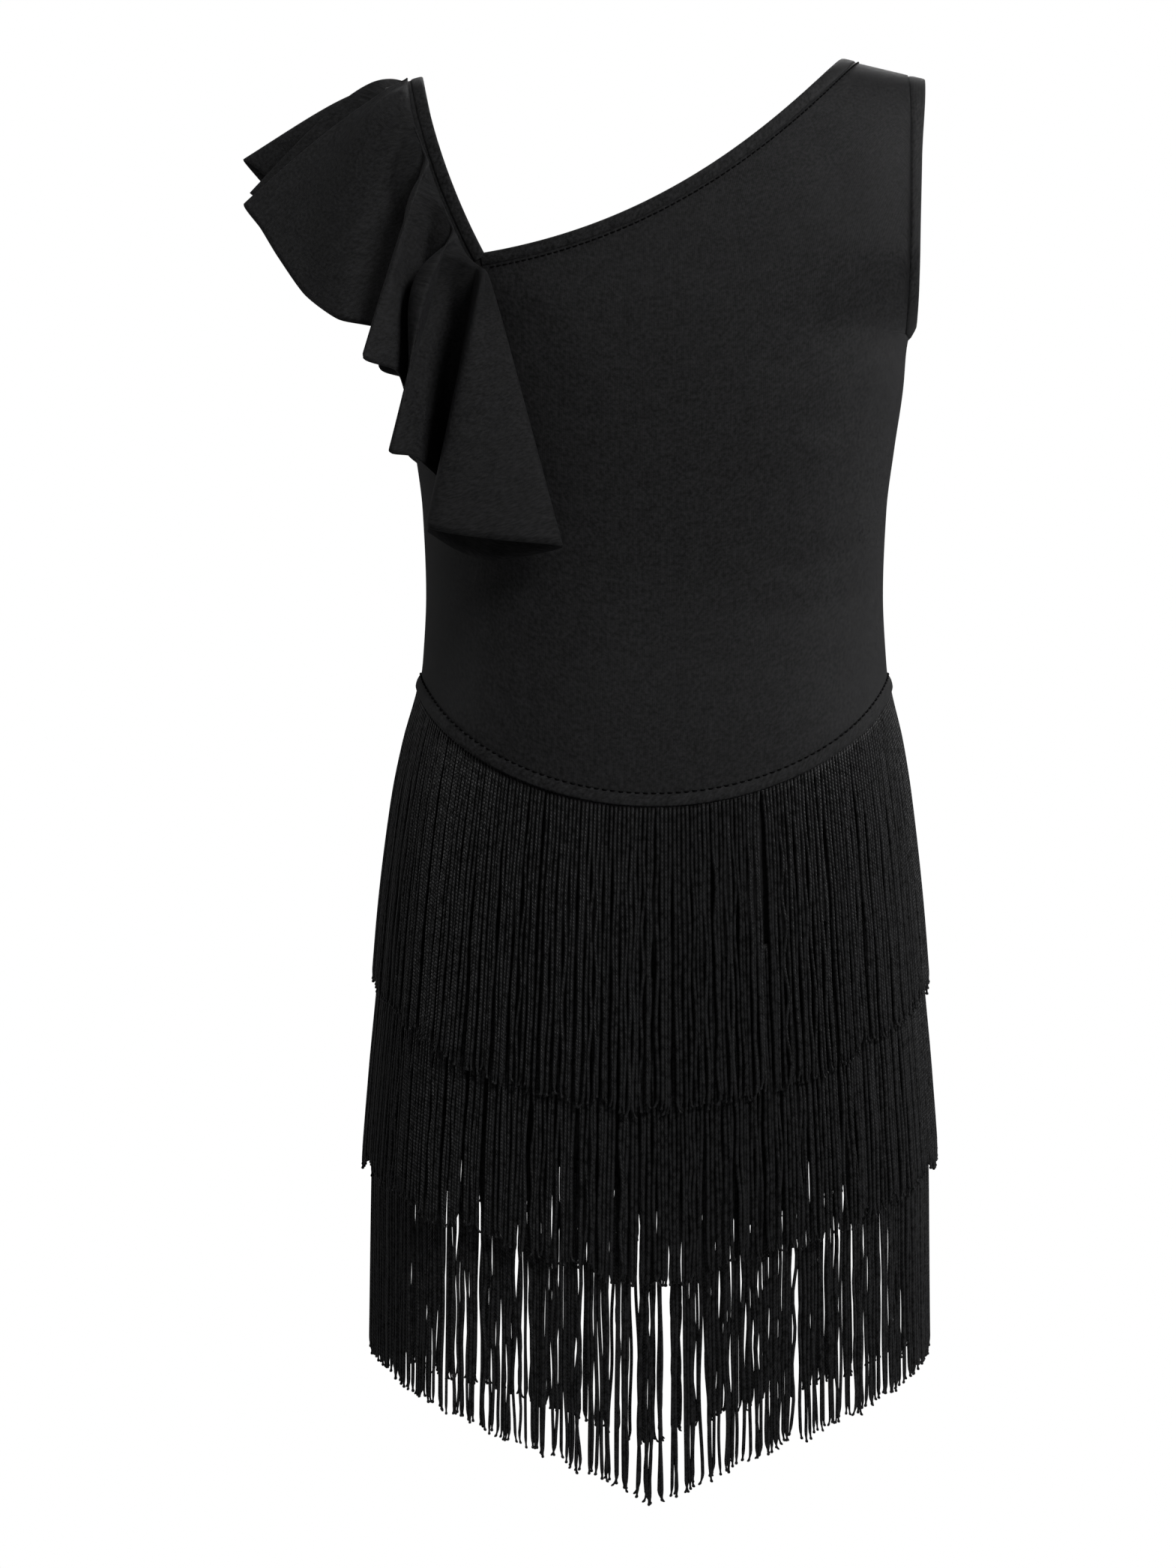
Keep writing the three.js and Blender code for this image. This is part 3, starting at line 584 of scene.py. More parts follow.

# Painted shade: the thread is coloured far darker than the jersey, which stands in for the shade in the
# holes where the stitches pull into the cloth.
thread_painted_shade = bpy.data.materials.new("thread darkened as painted shade")
thread_painted_shade.use_nodes = True
thread_tree = thread_painted_shade.node_tree
thread_shader = thread_tree.nodes["Principled BSDF"]
set_inputs(thread_shader, {"Roughness": 0.8, "Specular IOR Level": 0.1})
thread_twist = thread_tree.nodes.new("ShaderNodeTexWave")
set_inputs(thread_twist, {"Scale": 900})
thread_shade_tone = thread_tree.nodes.new("ShaderNodeMix")
thread_shade_tone.data_type = "RGBA"
set_inputs(thread_shade_tone, {"A": (0.0004, 0.0004, 0.0005, 1), "B": (0.002, 0.002, 0.0022, 1)})
thread_tree.links.new(thread_twist.outputs["Fac"], thread_shade_tone.inputs["Factor"])
thread_tree.links.new(thread_shade_tone.outputs["Result"], thread_shader.inputs["Base Color"])


def joined_strands(name, centre, sideways, outward, radius, material):
    """One mesh of many round strands. Their UVs are the strand's number with the share round it,
    and the length down it."""
    count, rings = centre.shape[:2]
    turn = np.linspace(0, 2 * math.pi, ROUND_SIDES, endpoint=False)
    cos, sin = np.cos(turn)[:, None], np.sin(turn)[:, None]
    reach = np.broadcast_to(radius, (count, rings))[:, :, None, None]
    points = centre[:, :, None] + reach * (cos * sideways[:, :, None] + sin * outward[:, :, None])
    index = np.arange(count * rings * ROUND_SIDES).reshape(count, rings, ROUND_SIDES)
    looped = np.concatenate([index, index[:, :, :1]], 2)
    upper, lower = looped[:, :-1], looped[:, 1:]
    quads = np.stack([upper[..., :-1], upper[..., 1:], lower[..., 1:], lower[..., :-1]], -1)
    faces = quads.reshape(-1, 4).tolist() + index[:, 0, ::-1].tolist() + index[:, -1].tolist()
    mesh = bpy.data.meshes.new(name)
    mesh.from_pydata((points.reshape(-1, 3) * MM).tolist(), [], faces)
    length = lengths_along(centre, 1) * MM
    number = np.arange(count)[:, None] + np.linspace(0, 1, ROUND_SIDES + 1) * 0.999
    uv = np.stack(np.broadcast_arrays(number[:, None, :], length[:, :, None]), -1)
    corners = np.stack([uv[:, :-1, :-1], uv[:, :-1, 1:], uv[:, 1:, 1:], uv[:, 1:, :-1]], 3)
    ends = np.concatenate([uv[:, 0, ROUND_SIDES - 1 :: -1], uv[:, -1, :-1]])
    layer = mesh.uv_layers.new(name="strand")
    layer.uv.foreach_set("vector", np.concatenate([corners.reshape(-1), ends.reshape(-1)]))
    mesh.shade_smooth()
    mesh.materials.append(material)
    piece = bpy.data.objects.new(name, mesh)
    bpy.context.collection.objects.link(piece)
    return piece


def stitch_row(name, line, outwards, pitch):
    """Straight stitches along a line of points in millimetres, each sunk into the cloth at its ends."""
    run = run_along(line)
    count = int(run[-1] / pitch)
    starts = (np.arange(count) + 0.5) * run[-1] / count - THREAD_LENGTH / 2
    places = starts[:, None] + np.linspace(0, 1, len(THREAD_RISE)) * THREAD_LENGTH
    centre = points_at(line, run, places)
    normal = unit(points_at(outwards, run, places))
    sideways = np.cross(normal, unit(np.gradient(centre, axis=1)))
    centre = centre + normal * np.array(THREAD_RISE)[:, None]
    piece = joined_strands(name, centre, sideways, normal, THREAD_RADIUS, thread_painted_shade)
    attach(piece, "root")
    return piece


seam_low = neck_line(neck_path, SEAM_ACROSS, CLOTH + 0.05)
seam_high = neck_line(neck_path, SEAM_ACROSS, CLOTH + 1.05)
neck_stitches = stitch_row("neck_stitches", seam_low[1:-1], (seam_high - seam_low)[1:-1], NECK_STITCH)

# Shoulder flounce: one circle of jersey cut open and sewn by its inner edge to the strap, from the
# front corner over the shoulder to the back corner. Its raw hem swings out in deep cone-shaped folds.

FLOUNCE_CLOTH = 1
FLOUNCE_SEAM = [
    {"z": -102, "x": -79.5},
    {"z": -94.8, "x": -87.8},
    {"z": -77, "x": -96.5},
    {"z": -58.8, "x": -103.8},
    {"z": -40, "x": -110.5},
    {"z": -22, "x": -115.5},
    {"z": 3, "x": -119},
]
# A row for each ridge and valley: the place on the seam (-1 at the front corner, 0 on the shoulder,
# 1 at the back corner), where the hem lies, how far its root is stacked out, how far it bows out
# near the seam, and how far it swings to the side there.
FOLDS = [
    {"at": -1, "x": -107, "y": -62, "z": -222.5, "stack": 0, "bow": 0, "swing": 0},
    {"at": -1, "x": -93, "y": -70, "z": -231.5, "stack": 0, "bow": 0, "swing": 0},
    {"at": -0.999, "x": -75, "y": -79, "z": -237, "stack": 0.3, "bow": 1, "swing": 0},
    {"at": -0.999, "x": -43.6, "y": -89, "z": -231, "stack": 1.4, "bow": 2, "swing": 1},
    {"at": -0.998, "x": -76, "y": -95, "z": -227.5, "stack": 2.6, "bow": 4, "swing": 0},
    {"at": -0.996, "x": -106, "y": -90, "z": -221.5, "stack": 2.4, "bow": 7, "swing": 0},
    {"at": -0.984, "x": -99, "y": -52, "z": -202, "stack": 0, "bow": -8, "swing": -4},
    {"at": -0.936, "x": -112, "y": -78, "z": -189, "stack": 2, "bow": 7, "swing": -19},
    {"at": -0.918, "x": -124, "y": -86, "z": -186.3, "stack": 2.4, "bow": 12, "swing": -5},
    {"at": -0.875, "x": -117, "y": -48, "z": -166, "stack": 0, "bow": -9, "swing": 0},
    {"at": -0.745, "x": -120.5, "y": -77, "z": -149, "stack": 0.8, "bow": 7, "swing": -8},
    {"at": -0.7, "x": -136, "y": -88, "z": -143.3, "stack": 1.4, "bow": 10, "swing": 3},
    {"at": -0.62, "x": -130, "y": -71, "z": -128, "stack": 0, "bow": -4, "swing": 2},
    {"at": -0.47, "x": -148.7, "y": -65, "z": -123.7, "stack": 0, "bow": 4, "swing": 0},
    {"at": -0.34, "x": -165, "y": -50.5, "z": -110.7, "stack": 0, "bow": 7, "swing": 0},
    {"at": -0.24, "x": -178.5, "y": -38, "z": -91.5, "stack": 0, "bow": 2, "swing": 0},
    {"at": -0.16, "x": -187, "y": -25, "z": -77.5, "stack": 0.2, "bow": 0, "swing": 0},
    {"at": -0.1, "x": -196.5, "y": -13, "z": -63, "stack": 0.6, "bow": -1, "swing": 0},
    {"at": -0.04, "x": -178, "y": -1, "z": -64, "stack": 0, "bow": -8, "swing": 0},
    {"at": 0.04, "x": -195, "y": 10, "z": -55.5, "stack": 0.5, "bow": 8, "swing": 0},
    {"at": 0.12, "x": -180, "y": 24, "z": -54, "stack": 0, "bow": -1, "swing": 0},
    {"at": 0.24, "x": -200, "y": 38, "z": -36.5, "stack": 0.4, "bow": 10, "swing": 0},
    {"at": 0.35, "x": -168, "y": 54, "z": -74, "stack": 0, "bow": -3, "swing": 0},
    {"at": 0.45, "x": -160, "y": 80, "z": -100, "stack": 0.3, "bow": 8, "swing": 0},
    {"at": 0.56, "x": -134, "y": 62, "z": -114, "stack": 0, "bow": -5, "swing": 0},
    {"at": 0.67, "x": -136, "y": 92, "z": -133, "stack": 1, "bow": 8, "swing": 0},
    {"at": 0.74, "x": -121, "y": 84, "z": -140, "stack": 1, "bow": 4, "swing": 0},
    {"at": 0.82, "x": -117, "y": 58, "z": -158, "stack": 0, "bow": -6, "swing": 0},
    {"at": 0.9, "x": -122, "y": 88, "z": -176, "stack": 2, "bow": 9, "swing": -4},
    {"at": 0.945, "x": -98, "y": 58, "z": -196, "stack": 0.2, "bow": -5, "swing": 0},
    {"at": 0.98, "x": -104, "y": 86, "z": -212, "stack": 2, "bow": 6, "swing": 0},
    {"at": 0.992, "x": -76, "y": 97, "z": -220, "stack": 2.6, "bow": 4, "swing": 0},
    {"at": 0.996, "x": -46, "y": 90, "z": -222, "stack": 1.4, "bow": 2, "swing": 1},
    {"at": 0.999, "x": -74, "y": 81, "z": -229, "stack": 0.3, "bow": 1, "swing": 0},
    {"at": 1, "x": -98, "y": 72, "z": -221, "stack": 0, "bow": 0, "swing": 0},
]
FLOUNCE_LIFT = CLOTH + 0.5 + 0.3 + FLOUNCE_CLOTH / 2 + 0.3
SEAM_SUNK = 1.7  # on the shoulder, where the strap presses the seam down
SUNK_REACH = 0.12
FOLD_STEPS, FLOUNCE_ROWS = 12, 57
FOLD_SLOPE = 0.38
LEAVING = 0.3  # the share of its drop over which the cloth follows the bodice
HEADED = 0.62  # how strongly its course keeps to that
CLEAR_X, CLEAR_REACH = -135, 12  # where the folds begin to hang clear of the bodice


def fold_value(column, place):
    """The value of one of the folds' columns between its rows, on a smooth curve."""
    held = np.array([row[column] for row in FOLDS], float)
    last = len(held) - 1
    i = np.clip(np.floor(place).astype(int), 0, last - 1)
    t = place - i
    before, start, end, after = (held[np.clip(i + k, 0, last)] for k in (-1, 0, 1, 2))
    return eased(t, start, end, FOLD_SLOPE * (end - before), FOLD_SLOPE * (after - start))


def on_side(at, x, z, offset):
    front = surface_at(FRONT, x, z, offset)
    back = surface_at(BACK, x, z, offset)
    return np.where(at[:, None] < 0, front, back)


def flounce_columns(place):
    """Where each column of the flounce starts, what it heads for as it leaves the seam, and its hem."""
    at = np.interp(place, np.arange(len(FOLDS)), [row["at"] for row in FOLDS])
    offset = FLOUNCE_LIFT + np.maximum(0, fold_value("stack", place))
    ridge = shoulder_height(FLOUNCE_SEAM[-1]["x"], offset)
    z = ridge + (FLOUNCE_SEAM[0]["z"] - ridge) * at**2
    x = read_curve(FLOUNCE_SEAM, "z", "x", z)
    root = on_side(at, x, np.minimum(z, shoulder_height(x, offset)), offset)
    root[:, 2] -= SEAM_SUNK * np.exp(-((at / SUNK_REACH) ** 2))
    hem = np.stack([fold_value(column, place) for column in ("x", "y", "z")], -1)
    reach = LEAVING * np.linalg.norm(hem - root, axis=1)
    rise = (root[:, 2] - UNDERARM_Z) / (shoulder_height(root[:, 0], offset) - UNDERARM_Z)
    out_x = root[:, 0] - reach
    out_height = shoulder_height(out_x, offset + 1)
    across = on_side(at, out_x, UNDERARM_Z + np.minimum(rise, 1) * (out_height - UNDERARM_Z), offset + 1)
    fall = unit((hem - root)[:, [0, 2]]) * reach[:, None]
    down = on_side(at, root[:, 0] + fall[:, 0], root[:, 2] + fall[:, 1], offset + 1)
    t = np.clip((np.abs(at) - 0.4) / 0.35, 0, 1)
    turn = (t**2 * (3 - 2 * t))[:, None]
    return at, root, across * (1 - turn) + down * turn, hem


def flounce_grid():
    place = np.linspace(0, len(FOLDS) - 1, (len(FOLDS) - 1) * FOLD_STEPS + 1)
    at, root, heading, hem = flounce_columns(place)
    share = np.linspace(1, 0, FLOUNCE_ROWS)[:, None, None]
    straight = root + (hem - root) * LEAVING
    heading = heading * HEADED + straight * (1 - HEADED)
    grid = root * (1 - share) ** 2 + heading * 2 * share * (1 - share) + hem * share**2
    outwards = unit(np.stack([-0.6 * (1 - np.abs(at)), at * 1.2, 1 - np.abs(at)], -1))
    bow = fold_value("bow", place)[:, None] * np.sin(math.pi * share**0.62)
    wave = 0.7 * np.sin(place * 2.9 + 1.3 * np.sin(place * 1.1))[:, None] * share**3
    swing = fold_value("swing", place)[:, None] * np.sin(math.pi * share**0.5)
    grid = grid + outwards * (bow + wave) + swing * np.array([1, 0, 0.3])
    # no fold dips into the bodice under it
    under = np.minimum(grid[..., 2], shoulder_height(grid[..., 0], 0) - 0.01)
    for side, on_it in ((FRONT, at < 0), (BACK, at > 0)):
        body = surface_at(side, grid[:, on_it, 0], under[:, on_it], FLOUNCE_LIFT - 0.4)[..., 1]
        deepest = side * np.maximum(side * grid[:, on_it, 1], side * body)
        over = np.clip((grid[:, on_it, 0] - CLEAR_X) / CLEAR_REACH, 0, 1)
        grid[:, on_it, 1] += (deepest - grid[:, on_it, 1]) * over
    return grid


flounce = cloth_piece("shoulder_flounce_cloth", flounce_grid(), jersey, FLOUNCE_CLOTH * 0.7)
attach(flounce, "root")
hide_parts("shoulder_flounce")

# Skirt: a short plain tube of the same jersey in two panels. It hangs from the hip seam under the
# fringe, and carries the two lower rows of tape.

TIERS = [
    {"name": "top", "side": -291.3, "dip": 57.5, "point": 0, "spread": 0.036},
    {"name": "middle", "side": -376, "dip": 42, "point": 12.5, "spread": 0.042},
    {"name": "bottom", "side": -467, "dip": 41, "point": 21.7, "spread": 0.014},
]
TAPE = {"height": 3, "thick": 1.4, "inside": 0.2}
SKIRT_TOP_ABOVE, SKIRT_HEM_BELOW = 7.5, 7
SKIRT_IN = 0.6


def skirt_panel(name, side, node):
    angle = np.linspace(-math.pi / 2, math.pi / 2, 91)
    top = dipping_z(HIP, angle) + SKIRT_TOP_ABOVE
    hem = dipping_z(TIERS[2], angle) - SKIRT_HEM_BELOW
    share = np.linspace(0, 1, 61)[:, None]
    z = hem + (top - hem) * share
    soft = 0.35 * np.sin(angle * 11 + 0.6) * (1 - share) ** 2
    soft = soft + 0.25 * np.sin(angle * 5 + 2) * (1 - share)
    grid = body_at(side, angle, z, -SKIRT_IN - CLOTH / 2 + soft)
    piece = cloth_piece(name, grid if side == FRONT else grid[:, ::-1], jersey, CLOTH * 0.75)
    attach(piece, "root")
    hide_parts(node)
    return piece


skirt_front = skirt_panel("skirt_front_cloth", FRONT, "skirt_front")
skirt_back = skirt_panel("skirt_back_cloth", BACK, "skirt_back")

# Fringe: three tiers of rayon chainette fringe, each sewn by its woven tape round the skirt, the top
# one under the hip band. Every strand is a knitted cord that hangs by itself and leans on its
# neighbours, so that they part and bunch towards the cut ends.

FRINGE_LENGTH = 143
STRAND_PITCH = 1.9
STRAND_START = 1.2  # below the tape's upper edge
# Where the strands' cut ends are, back from the tip, and how thick they are there
STRAND_TIP = [
    {"back": 5.4, "thick": 1.0},
    {"back": 3.6, "thick": 0.86},
    {"back": 2.4, "thick": 0.62},
    {"back": 1.5, "thick": 0.6},
    {"back": 0.8, "thick": 0.95},
    {"back": 0.25, "thick": 0.85},
    {"back": 0.0, "thick": 0.4},
]
STRAND_RINGS = 25
STAGGER = {"by_chance": 0.35, "by_turns": 0.45}
DRIFT = 0.7
NEW_BUNCH = 0.36  # the chance that a strand starts a new bunch
PARTING_REACH = 4
LOOSE_X, LOOSE_REACH = -11, 24  # where the strands hang loosest, and how far to each side
# How thick a tier's strands are, how much they bunch, and more at the loosest place, and how much
# they lean, how unevenly they are cut and how much they wave, in millimetres but for the bunching
HANG = {
    "top": {"radius": 0.85, "bunch": 0.28, "loose": 0, "lean": 0.6, "trim": 1.8, "wave": 0.24},
    "middle": {"radius": 0.86, "bunch": 0.28, "loose": 0, "lean": 0.6, "trim": 2.0, "wave": 0.24},
    "bottom": {"radius": 0.8, "bunch": 0.42, "loose": 1.1, "lean": 0.7, "trim": 1.3, "wave": 0.3},
}
# The partings that run down a tier from top to bottom
PARTINGS = [
    {"tier": "top", "side": FRONT, "x": 47, "wide": 1.5},
    {"tier": "top", "side": FRONT, "x": -111, "wide": 2.2},
    {"tier": "top", "side": FRONT, "x": -51, "wide": 0.8},
    {"tier": "top", "side": BACK, "x": 32, "wide": 1.3},
    {"tier": "top", "side": BACK, "x": -74, "wide": 1.5},
    {"tier": "middle", "side": FRONT, "x": -92, "wide": 1.2},
    {"tier": "middle", "side": FRONT, "x": 70, "wide": 1.0},
    {"tier": "middle", "side": BACK, "x": -18, "wide": 1.2},
    {"tier": "middle", "side": BACK, "x": 88, "wide": 1.4},
    {"tier": "bottom", "side": FRONT, "x": -20, "wide": 2},
    {"tier": "bottom", "side": FRONT, "x": -9, "wide": 2.4},
    {"tier": "bottom", "side": FRONT, "x": 4, "wide": 2},
    {"tier": "bottom", "side": BACK, "x": -19, "wide": 2},
    {"tier": "bottom", "side": BACK, "x": -7, "wide": 2.4},
    {"tier": "bottom", "side": BACK, "x": 7, "wide": 2},
]


def make_chainette_knit():
    """A knitted cord: two columns of loops that meet in a row of Vs, each strand's own tone, and painted
    glints: bright specks in the colour that stand in for highlights on the rayon.
    """
    group = bpy.data.node_groups.new("chainette knit", "ShaderNodeTree")
    add_socket(group, "Loop Pitch", "INPUT", 0.0017)
    add_socket(group, "Tone And Painted Glint", "INPUT", 0.66)
    add_socket(group, "Shade", "OUTPUT")
    add_socket(group, "Height", "OUTPUT")
    nodes, links, work_out = group.nodes, group.links, sums_in(group)
    inside = nodes.new("NodeGroupInput")
    outside = nodes.new("NodeGroupOutput")
    place = nodes.new("ShaderNodeUVMap")
    place.uv_map = "strand"
    parts = nodes.new("ShaderNodeSeparateXYZ")
    links.new(place.outputs["UV"], parts.inputs[0])
    lean = work_out("MULTIPLY", work_out("PINGPONG", parts.outputs["X"], 0.25), 4.0)
    loop = work_out("DIVIDE", parts.outputs["Y"], inside.outputs["Loop Pitch"])
    turn = work_out("MULTIPLY", work_out("ADD", loop, lean), math.pi)
    ridge = work_out("ABSOLUTE", work_out("SINE", turn))
    strand = nodes.new("ShaderNodeTexWhiteNoise")
    strand.noise_dimensions = "1D"
    number = work_out("FLOOR", parts.outputs["X"])
    links.new(number, strand.inputs["W"])
    stretch = nodes.new("ShaderNodeCombineXYZ")
    links.new(work_out("MULTIPLY", number, 7.3), stretch.inputs["X"])
    links.new(work_out("MULTIPLY", parts.outputs["Y"], 330), stretch.inputs["Y"])
    # Painted highlights: a noise stretched down each strand lightens its colour in specks, which stand
    # in for glints of light on the shiny rayon.
    glint_noise = nodes.new("ShaderNodeTexNoise")
    set_inputs(glint_noise, {"Scale": 1, "Detail": 3})
    links.new(stretch.outputs[0], glint_noise.inputs["Vector"])
    painted_glint = work_out("MULTIPLY", work_out("SUBTRACT", glint_noise.outputs["Fac"], 0.42), 6)
    # Each strand's own random tone, with the painted glints added to it.
    tone_and_painted_glint = work_out("ADD", work_out("MULTIPLY", strand.outputs["Value"], 0.5), painted_glint)
    mix = nodes.new("ShaderNodeMix")
    links.new(inside.outputs["Tone And Painted Glint"], mix.inputs["Factor"])
    links.new(ridge, mix.inputs["A"])
    links.new(tone_and_painted_glint, mix.inputs["B"])
    links.new(mix.outputs["Result"], outside.inputs["Shade"])
    links.new(ridge, outside.inputs["Height"])
    return group


chainette = knitted_material(
    "black rayon chainette",
    make_chainette_knit(),
    {"Loop Pitch": 0.0017, "Tone And Painted Glint": 0.66},
    {"Specular IOR Level": 0.2, "Sheen Weight": 0.03, "Sheen Roughness": 0.4},
    tones=((0.0003, 0.0003, 0.0004), (0.022, 0.022, 0.023)),
    roughness=(0.62, 0.34),
    bump=(0.8, 0.00025),
)


def wander(rng, count, reach):
    """A smooth random line of one value for each strand, that turns within about reach strands."""
    kernel = np.exp(-((np.arange(-3 * reach, 3 * reach + 1) / reach) ** 2))
    line = np.convolve(rng.normal(size=count + 6 * reach), kernel, "valid")
    return line / np.sqrt(np.sum(kernel**2))


def strand_drift(rng, places, below, share, hang):
    """How far each point of each strand lies to the side of where it would hang by itself."""
    count = len(places)
    bunch = np.cumsum(rng.random(count) < NEW_BUNCH)
    middle = np.bincount(bunch, places) / np.maximum(np.bincount(bunch), 1)
    bunching = hang["bunch"] + hang["loose"] * np.exp(-(((places - LOOSE_X) / LOOSE_REACH) ** 2))
    pull = (middle[bunch] - places) * np.minimum(1.02, bunching * rng.uniform(0.5, 1.15, count))
    tip = pull + DRIFT * wander(rng, count, 5) + hang["lean"] * rng.normal(size=count)
    bend = rng.uniform(0.5, 1.5, count)[:, None]
    wave_length = rng.uniform(30, 80, (2, count, 1))
    phase = rng.uniform(0, 2 * math.pi, (2, count, 1))
    waves = np.sin(2 * math.pi * below / wave_length + phase) * rng.normal(size=(2, count, 1))
    hook = rng.normal(size=count)[:, None] * np.clip((share - 0.96) / 0.04, 0, 1) ** 2
    loose = np.clip(share * 4, 0, 1)
    return tip[:, None] * share**bend + hang["wave"] * waves.sum(0) * loose + 0.9 * hook


def even_angles(side, row, shares):
    """The angles that share a half row of fringe out evenly, and the half row's length."""
    angle = np.linspace(-math.pi / 2, math.pi / 2, 901)
    line = body_at(side, angle, dipping_z(row, angle), 0)
    run = run_along(line)
    return np.interp(shares * run[-1], run, angle), run[-1]


def fringe_half(side, tier, seed):
    rng = np.random.default_rng(seed)
    hang = HANG[tier["name"]]
    width = even_angles(side, tier, np.array([1.0]))[1]
    count = round(width / STRAND_PITCH)
    angle = even_angles(side, tier, (np.arange(count) + 0.5) / count)[0]
    uneven = 0.6 * wander(rng, count, 2) + 0.5 * rng.normal(size=count)
    length = FRINGE_LENGTH - STRAND_START + hang["trim"] * uneven
    tips = np.array([row["back"] for row in STRAND_TIP])
    plain = np.linspace(0, 1, STRAND_RINGS)[:-1]
    below = np.concatenate([plain * (length[:, None] - tips[0]), length[:, None] - tips], 1)
    share = below / length[:, None]
    thick = np.concatenate([np.ones(len(plain)), [row["thick"] for row in STRAND_TIP]])
    radius = hang["radius"] * thick * rng.uniform(0.9, 1.1, count)[:, None]

    row_z = dipping_z(tier, angle)[:, None]
    step = body_at(side, angle + 0.01, row_z[:, 0], 0) - body_at(side, angle - 0.01, row_z[:, 0], 0)
    sideways = unit(step * [1, 1, 0])[:, None]
    outward = np.stack([sideways[..., 1], -sideways[..., 0], sideways[..., 0] * 0], -1)
    places = body_at(side, angle, row_z[:, 0], 0)[:, 0]
    drift = strand_drift(rng, places, below, share, hang)
    for parting in PARTINGS:
        if parting["tier"] == tier["name"] and parting["side"] == side:
            away = places - parting["x"]
            opened = np.sign(away) * np.exp(-np.abs(away) / PARTING_REACH) * parting["wide"]
            drift += opened[:, None] * np.clip(share * 8, 0, 1) * (1 - 0.4 * share)
    stagger = STAGGER["by_chance"] * rng.normal(size=count)[:, None]
    stagger = stagger + STAGGER["by_turns"] * (-1) ** np.arange(count)[:, None]
    offset = TAPE["inside"] + TAPE["thick"] / 2 + 0.25 + tier["spread"] * below
    offset = offset + np.abs(stagger) * np.clip(share * 3, 0, 1) * hang["bunch"] * 2
    centre = body_at(side, angle[:, None], row_z - STRAND_START - below, offset)
    centre = centre + sideways * drift[..., None]

    name = f"fringe_{tier['name']}_{'front' if side == FRONT else 'back'}"
    return joined_strands(name + "_strands", centre, sideways, outward, radius, chainette), name


def tape_strip(side, tier):
    """The woven tape that holds half a tier of strands."""
    angle = np.linspace(-math.pi / 2, math.pi / 2, 121)
    top = dipping_z(tier, angle)
    half = TAPE["height"] / 2
    section = [(0, 0.1), (0, 1), (half, 1.12), (2 * half, 1), (2 * half, 0.1), (half, 0), (0, 0.1)]
    grid = np.stack(
        [body_at(side, angle, top - drop, TAPE["inside"] + TAPE["thick"] * out) for drop, out in section]
    )
    return cloth_piece("tape", grid[::-1] if side == FRONT else grid, edge_jersey, 0)


for number, tier in enumerate(TIERS):
    for side in (FRONT, BACK):
        strands, node = fringe_half(side, tier, seed=20 + 2 * number + (side == BACK))
        tape = tape_strip(side, tier)
        with bpy.context.temp_override(active_object=strands, selected_editable_objects=[strands, tape]):
            bpy.ops.object.join()
        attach(strands, "root")
        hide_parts(node)

# Hip band: a folded strip of the bodice's jersey that covers the top of the fringe all round. It is
# sewn along its upper edge, where the stitches pull the cloth in, and its lower edge hangs free.

HIP_BAND_SECTION = [
    {"rise": 0.2, "out": 2.1},
    {"rise": 0.0, "out": 2.3},
    {"rise": 0.1, "out": 2.8},
    {"rise": 0.5, "out": 3.0},
    {"rise": 1.8, "out": 2.95},
    {"rise": 3.4, "out": 2.65},
    {"rise": 4.7, "out": 2.1},
    {"rise": 5.5, "out": 1.6},
    {"rise": 6.1, "out": 1.1},
    {"rise": 4.5, "out": 0.8},
    {"rise": 2.0, "out": 1.7},
    {"rise": 0.2, "out": 2.1},
]
HIP_SEAM_RISE = 6.1


def round_the_hip(rise, out):
    half = np.linspace(-math.pi / 2, math.pi / 2, 181)
    z = dipping_z(HIP, half) + rise
    front = body_at(FRONT, half, z, out)
    back = body_at(BACK, half, z, out)
    return np.concatenate([front, back[::-1][1:-1]])


hip_grid = np.stack([round_the_hip(row["rise"], row["out"]) for row in HIP_BAND_SECTION], 1)
hip_band = cloth_piece("hip_band_cloth", hip_grid[:, ::-1], edge_jersey, 0, closed=True)
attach(hip_band, "root")
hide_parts("hip_band_front", "hip_band_back")
# These stitches take the same thread, darkened as painted shade of their holes.
hip_seam = round_the_hip(HIP_SEAM_RISE, CLOTH + 0.25)
hip_outwards = round_the_hip(HIP_SEAM_RISE, CLOTH + 1.25) - hip_seam
hip_stitches = stitch_row("hip_stitches", hip_seam, hip_outwards, HIP_STITCH)

# Studio: a pale floor in a white surround, and plain soft lights: the strongest in front, one from
# each side that picks out the edges of the black cloth, one above and one behind.

CAMERA_BACK = 2.4
CAMERA_AT = {"x": -0.0319, "z": -0.3406}
FLOOR_Z, FLOOR_RADIUS = -1.16, 2.2
SENSOR_HEIGHT, LENS = 36, 114.7

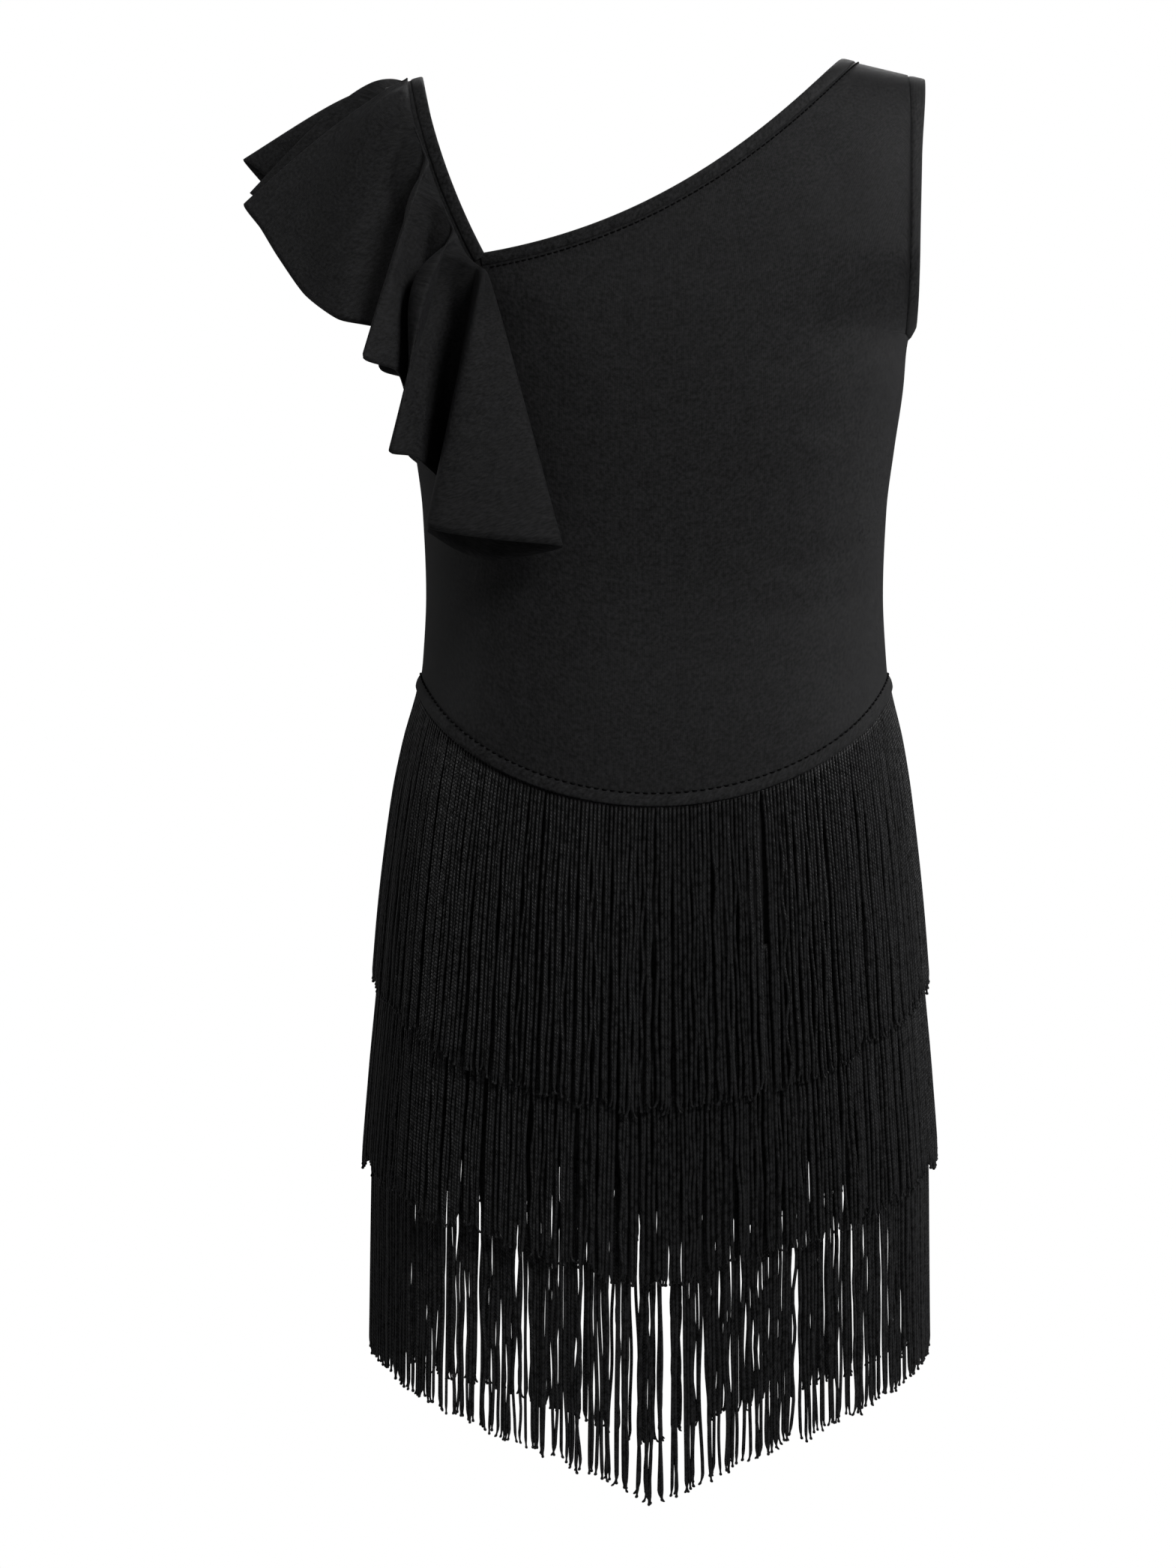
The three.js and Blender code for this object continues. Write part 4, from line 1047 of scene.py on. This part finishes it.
bpy.ops.mesh.primitive_circle_add(
    vertices=96, radius=FLOOR_RADIUS, fill_type="NGON", location=(0, 0, FLOOR_Z)
)
floor = bpy.context.object
floor.name = "studio_floor"
floor_paint = bpy.data.materials.new("pale floor")
floor_paint.use_nodes = True
floor_tree = floor_paint.node_tree
floor_shader = floor_tree.nodes["Principled BSDF"]
set_inputs(floor_shader, {"Roughness": 0.9, "Base Color": (0.6, 0.6, 0.61, 1)})
set_inputs(floor_shader, {"Emission Color": (1, 1, 1, 1)})
floor_seen = floor_tree.nodes.new("ShaderNodeLightPath")
floor_glow = floor_tree.nodes.new("ShaderNodeMapRange")
set_inputs(floor_glow, {"To Max": 0.7})
floor_tree.links.new(floor_seen.outputs["Is Camera Ray"], floor_glow.inputs["Value"])
floor_tree.links.new(floor_glow.outputs["Result"], floor_shader.inputs["Emission Strength"])
floor.data.materials.append(floor_paint)

world = bpy.data.worlds.new("studio")
bpy.context.scene.world = world
world.use_nodes = True
surround = world.node_tree.nodes["Background"]
set_inputs(surround, {"Color": (1, 1, 1, 1)})
seen = world.node_tree.nodes.new("ShaderNodeLightPath")
bright = world.node_tree.nodes.new("ShaderNodeMapRange")
set_inputs(bright, {"To Min": 0.056, "To Max": 1.0})
world.node_tree.links.new(seen.outputs["Is Camera Ray"], bright.inputs["Value"])
world.node_tree.links.new(bright.outputs["Result"], surround.inputs["Strength"])


def soft_light(name, place, size, watts):
    """A square light that faces the middle of the dress."""
    lamp = bpy.data.lights.new(name, "AREA")
    lamp.size = size
    lamp.energy = watts
    holder = bpy.data.objects.new(name, lamp)
    holder.location = place
    aim = Vector((0, 0, CAMERA_AT["z"])) - holder.location
    holder.rotation_euler = aim.to_track_quat("-Z", "Y").to_euler()
    bpy.context.collection.objects.link(holder)


soft_light("front key", (0.95, -1.3, 0.85), 0.6, 21.5)
soft_light("right rim", (1.6, 0.5, 0.55), 0.8, 12)
soft_light("left rim", (-1.7, 0.8, 0.1), 0.8, 3.3)
soft_light("top light", (-0.7, -0.2, 1.9), 0.6, 6)
soft_light("back light", (0.2, 2.0, 1.0), 0.8, 12)

lens = bpy.data.cameras.new("camera")
lens.sensor_fit = "VERTICAL"
lens.sensor_height = SENSOR_HEIGHT
lens.lens = LENS
camera = bpy.data.objects.new("camera", lens)
camera.location = (CAMERA_AT["x"], -CAMERA_BACK, CAMERA_AT["z"])
camera.rotation_euler = (math.pi / 2, 0, 0)
bpy.context.collection.objects.link(camera)
bpy.context.scene.camera = camera
bpy.context.scene.view_settings.view_transform = "Standard"
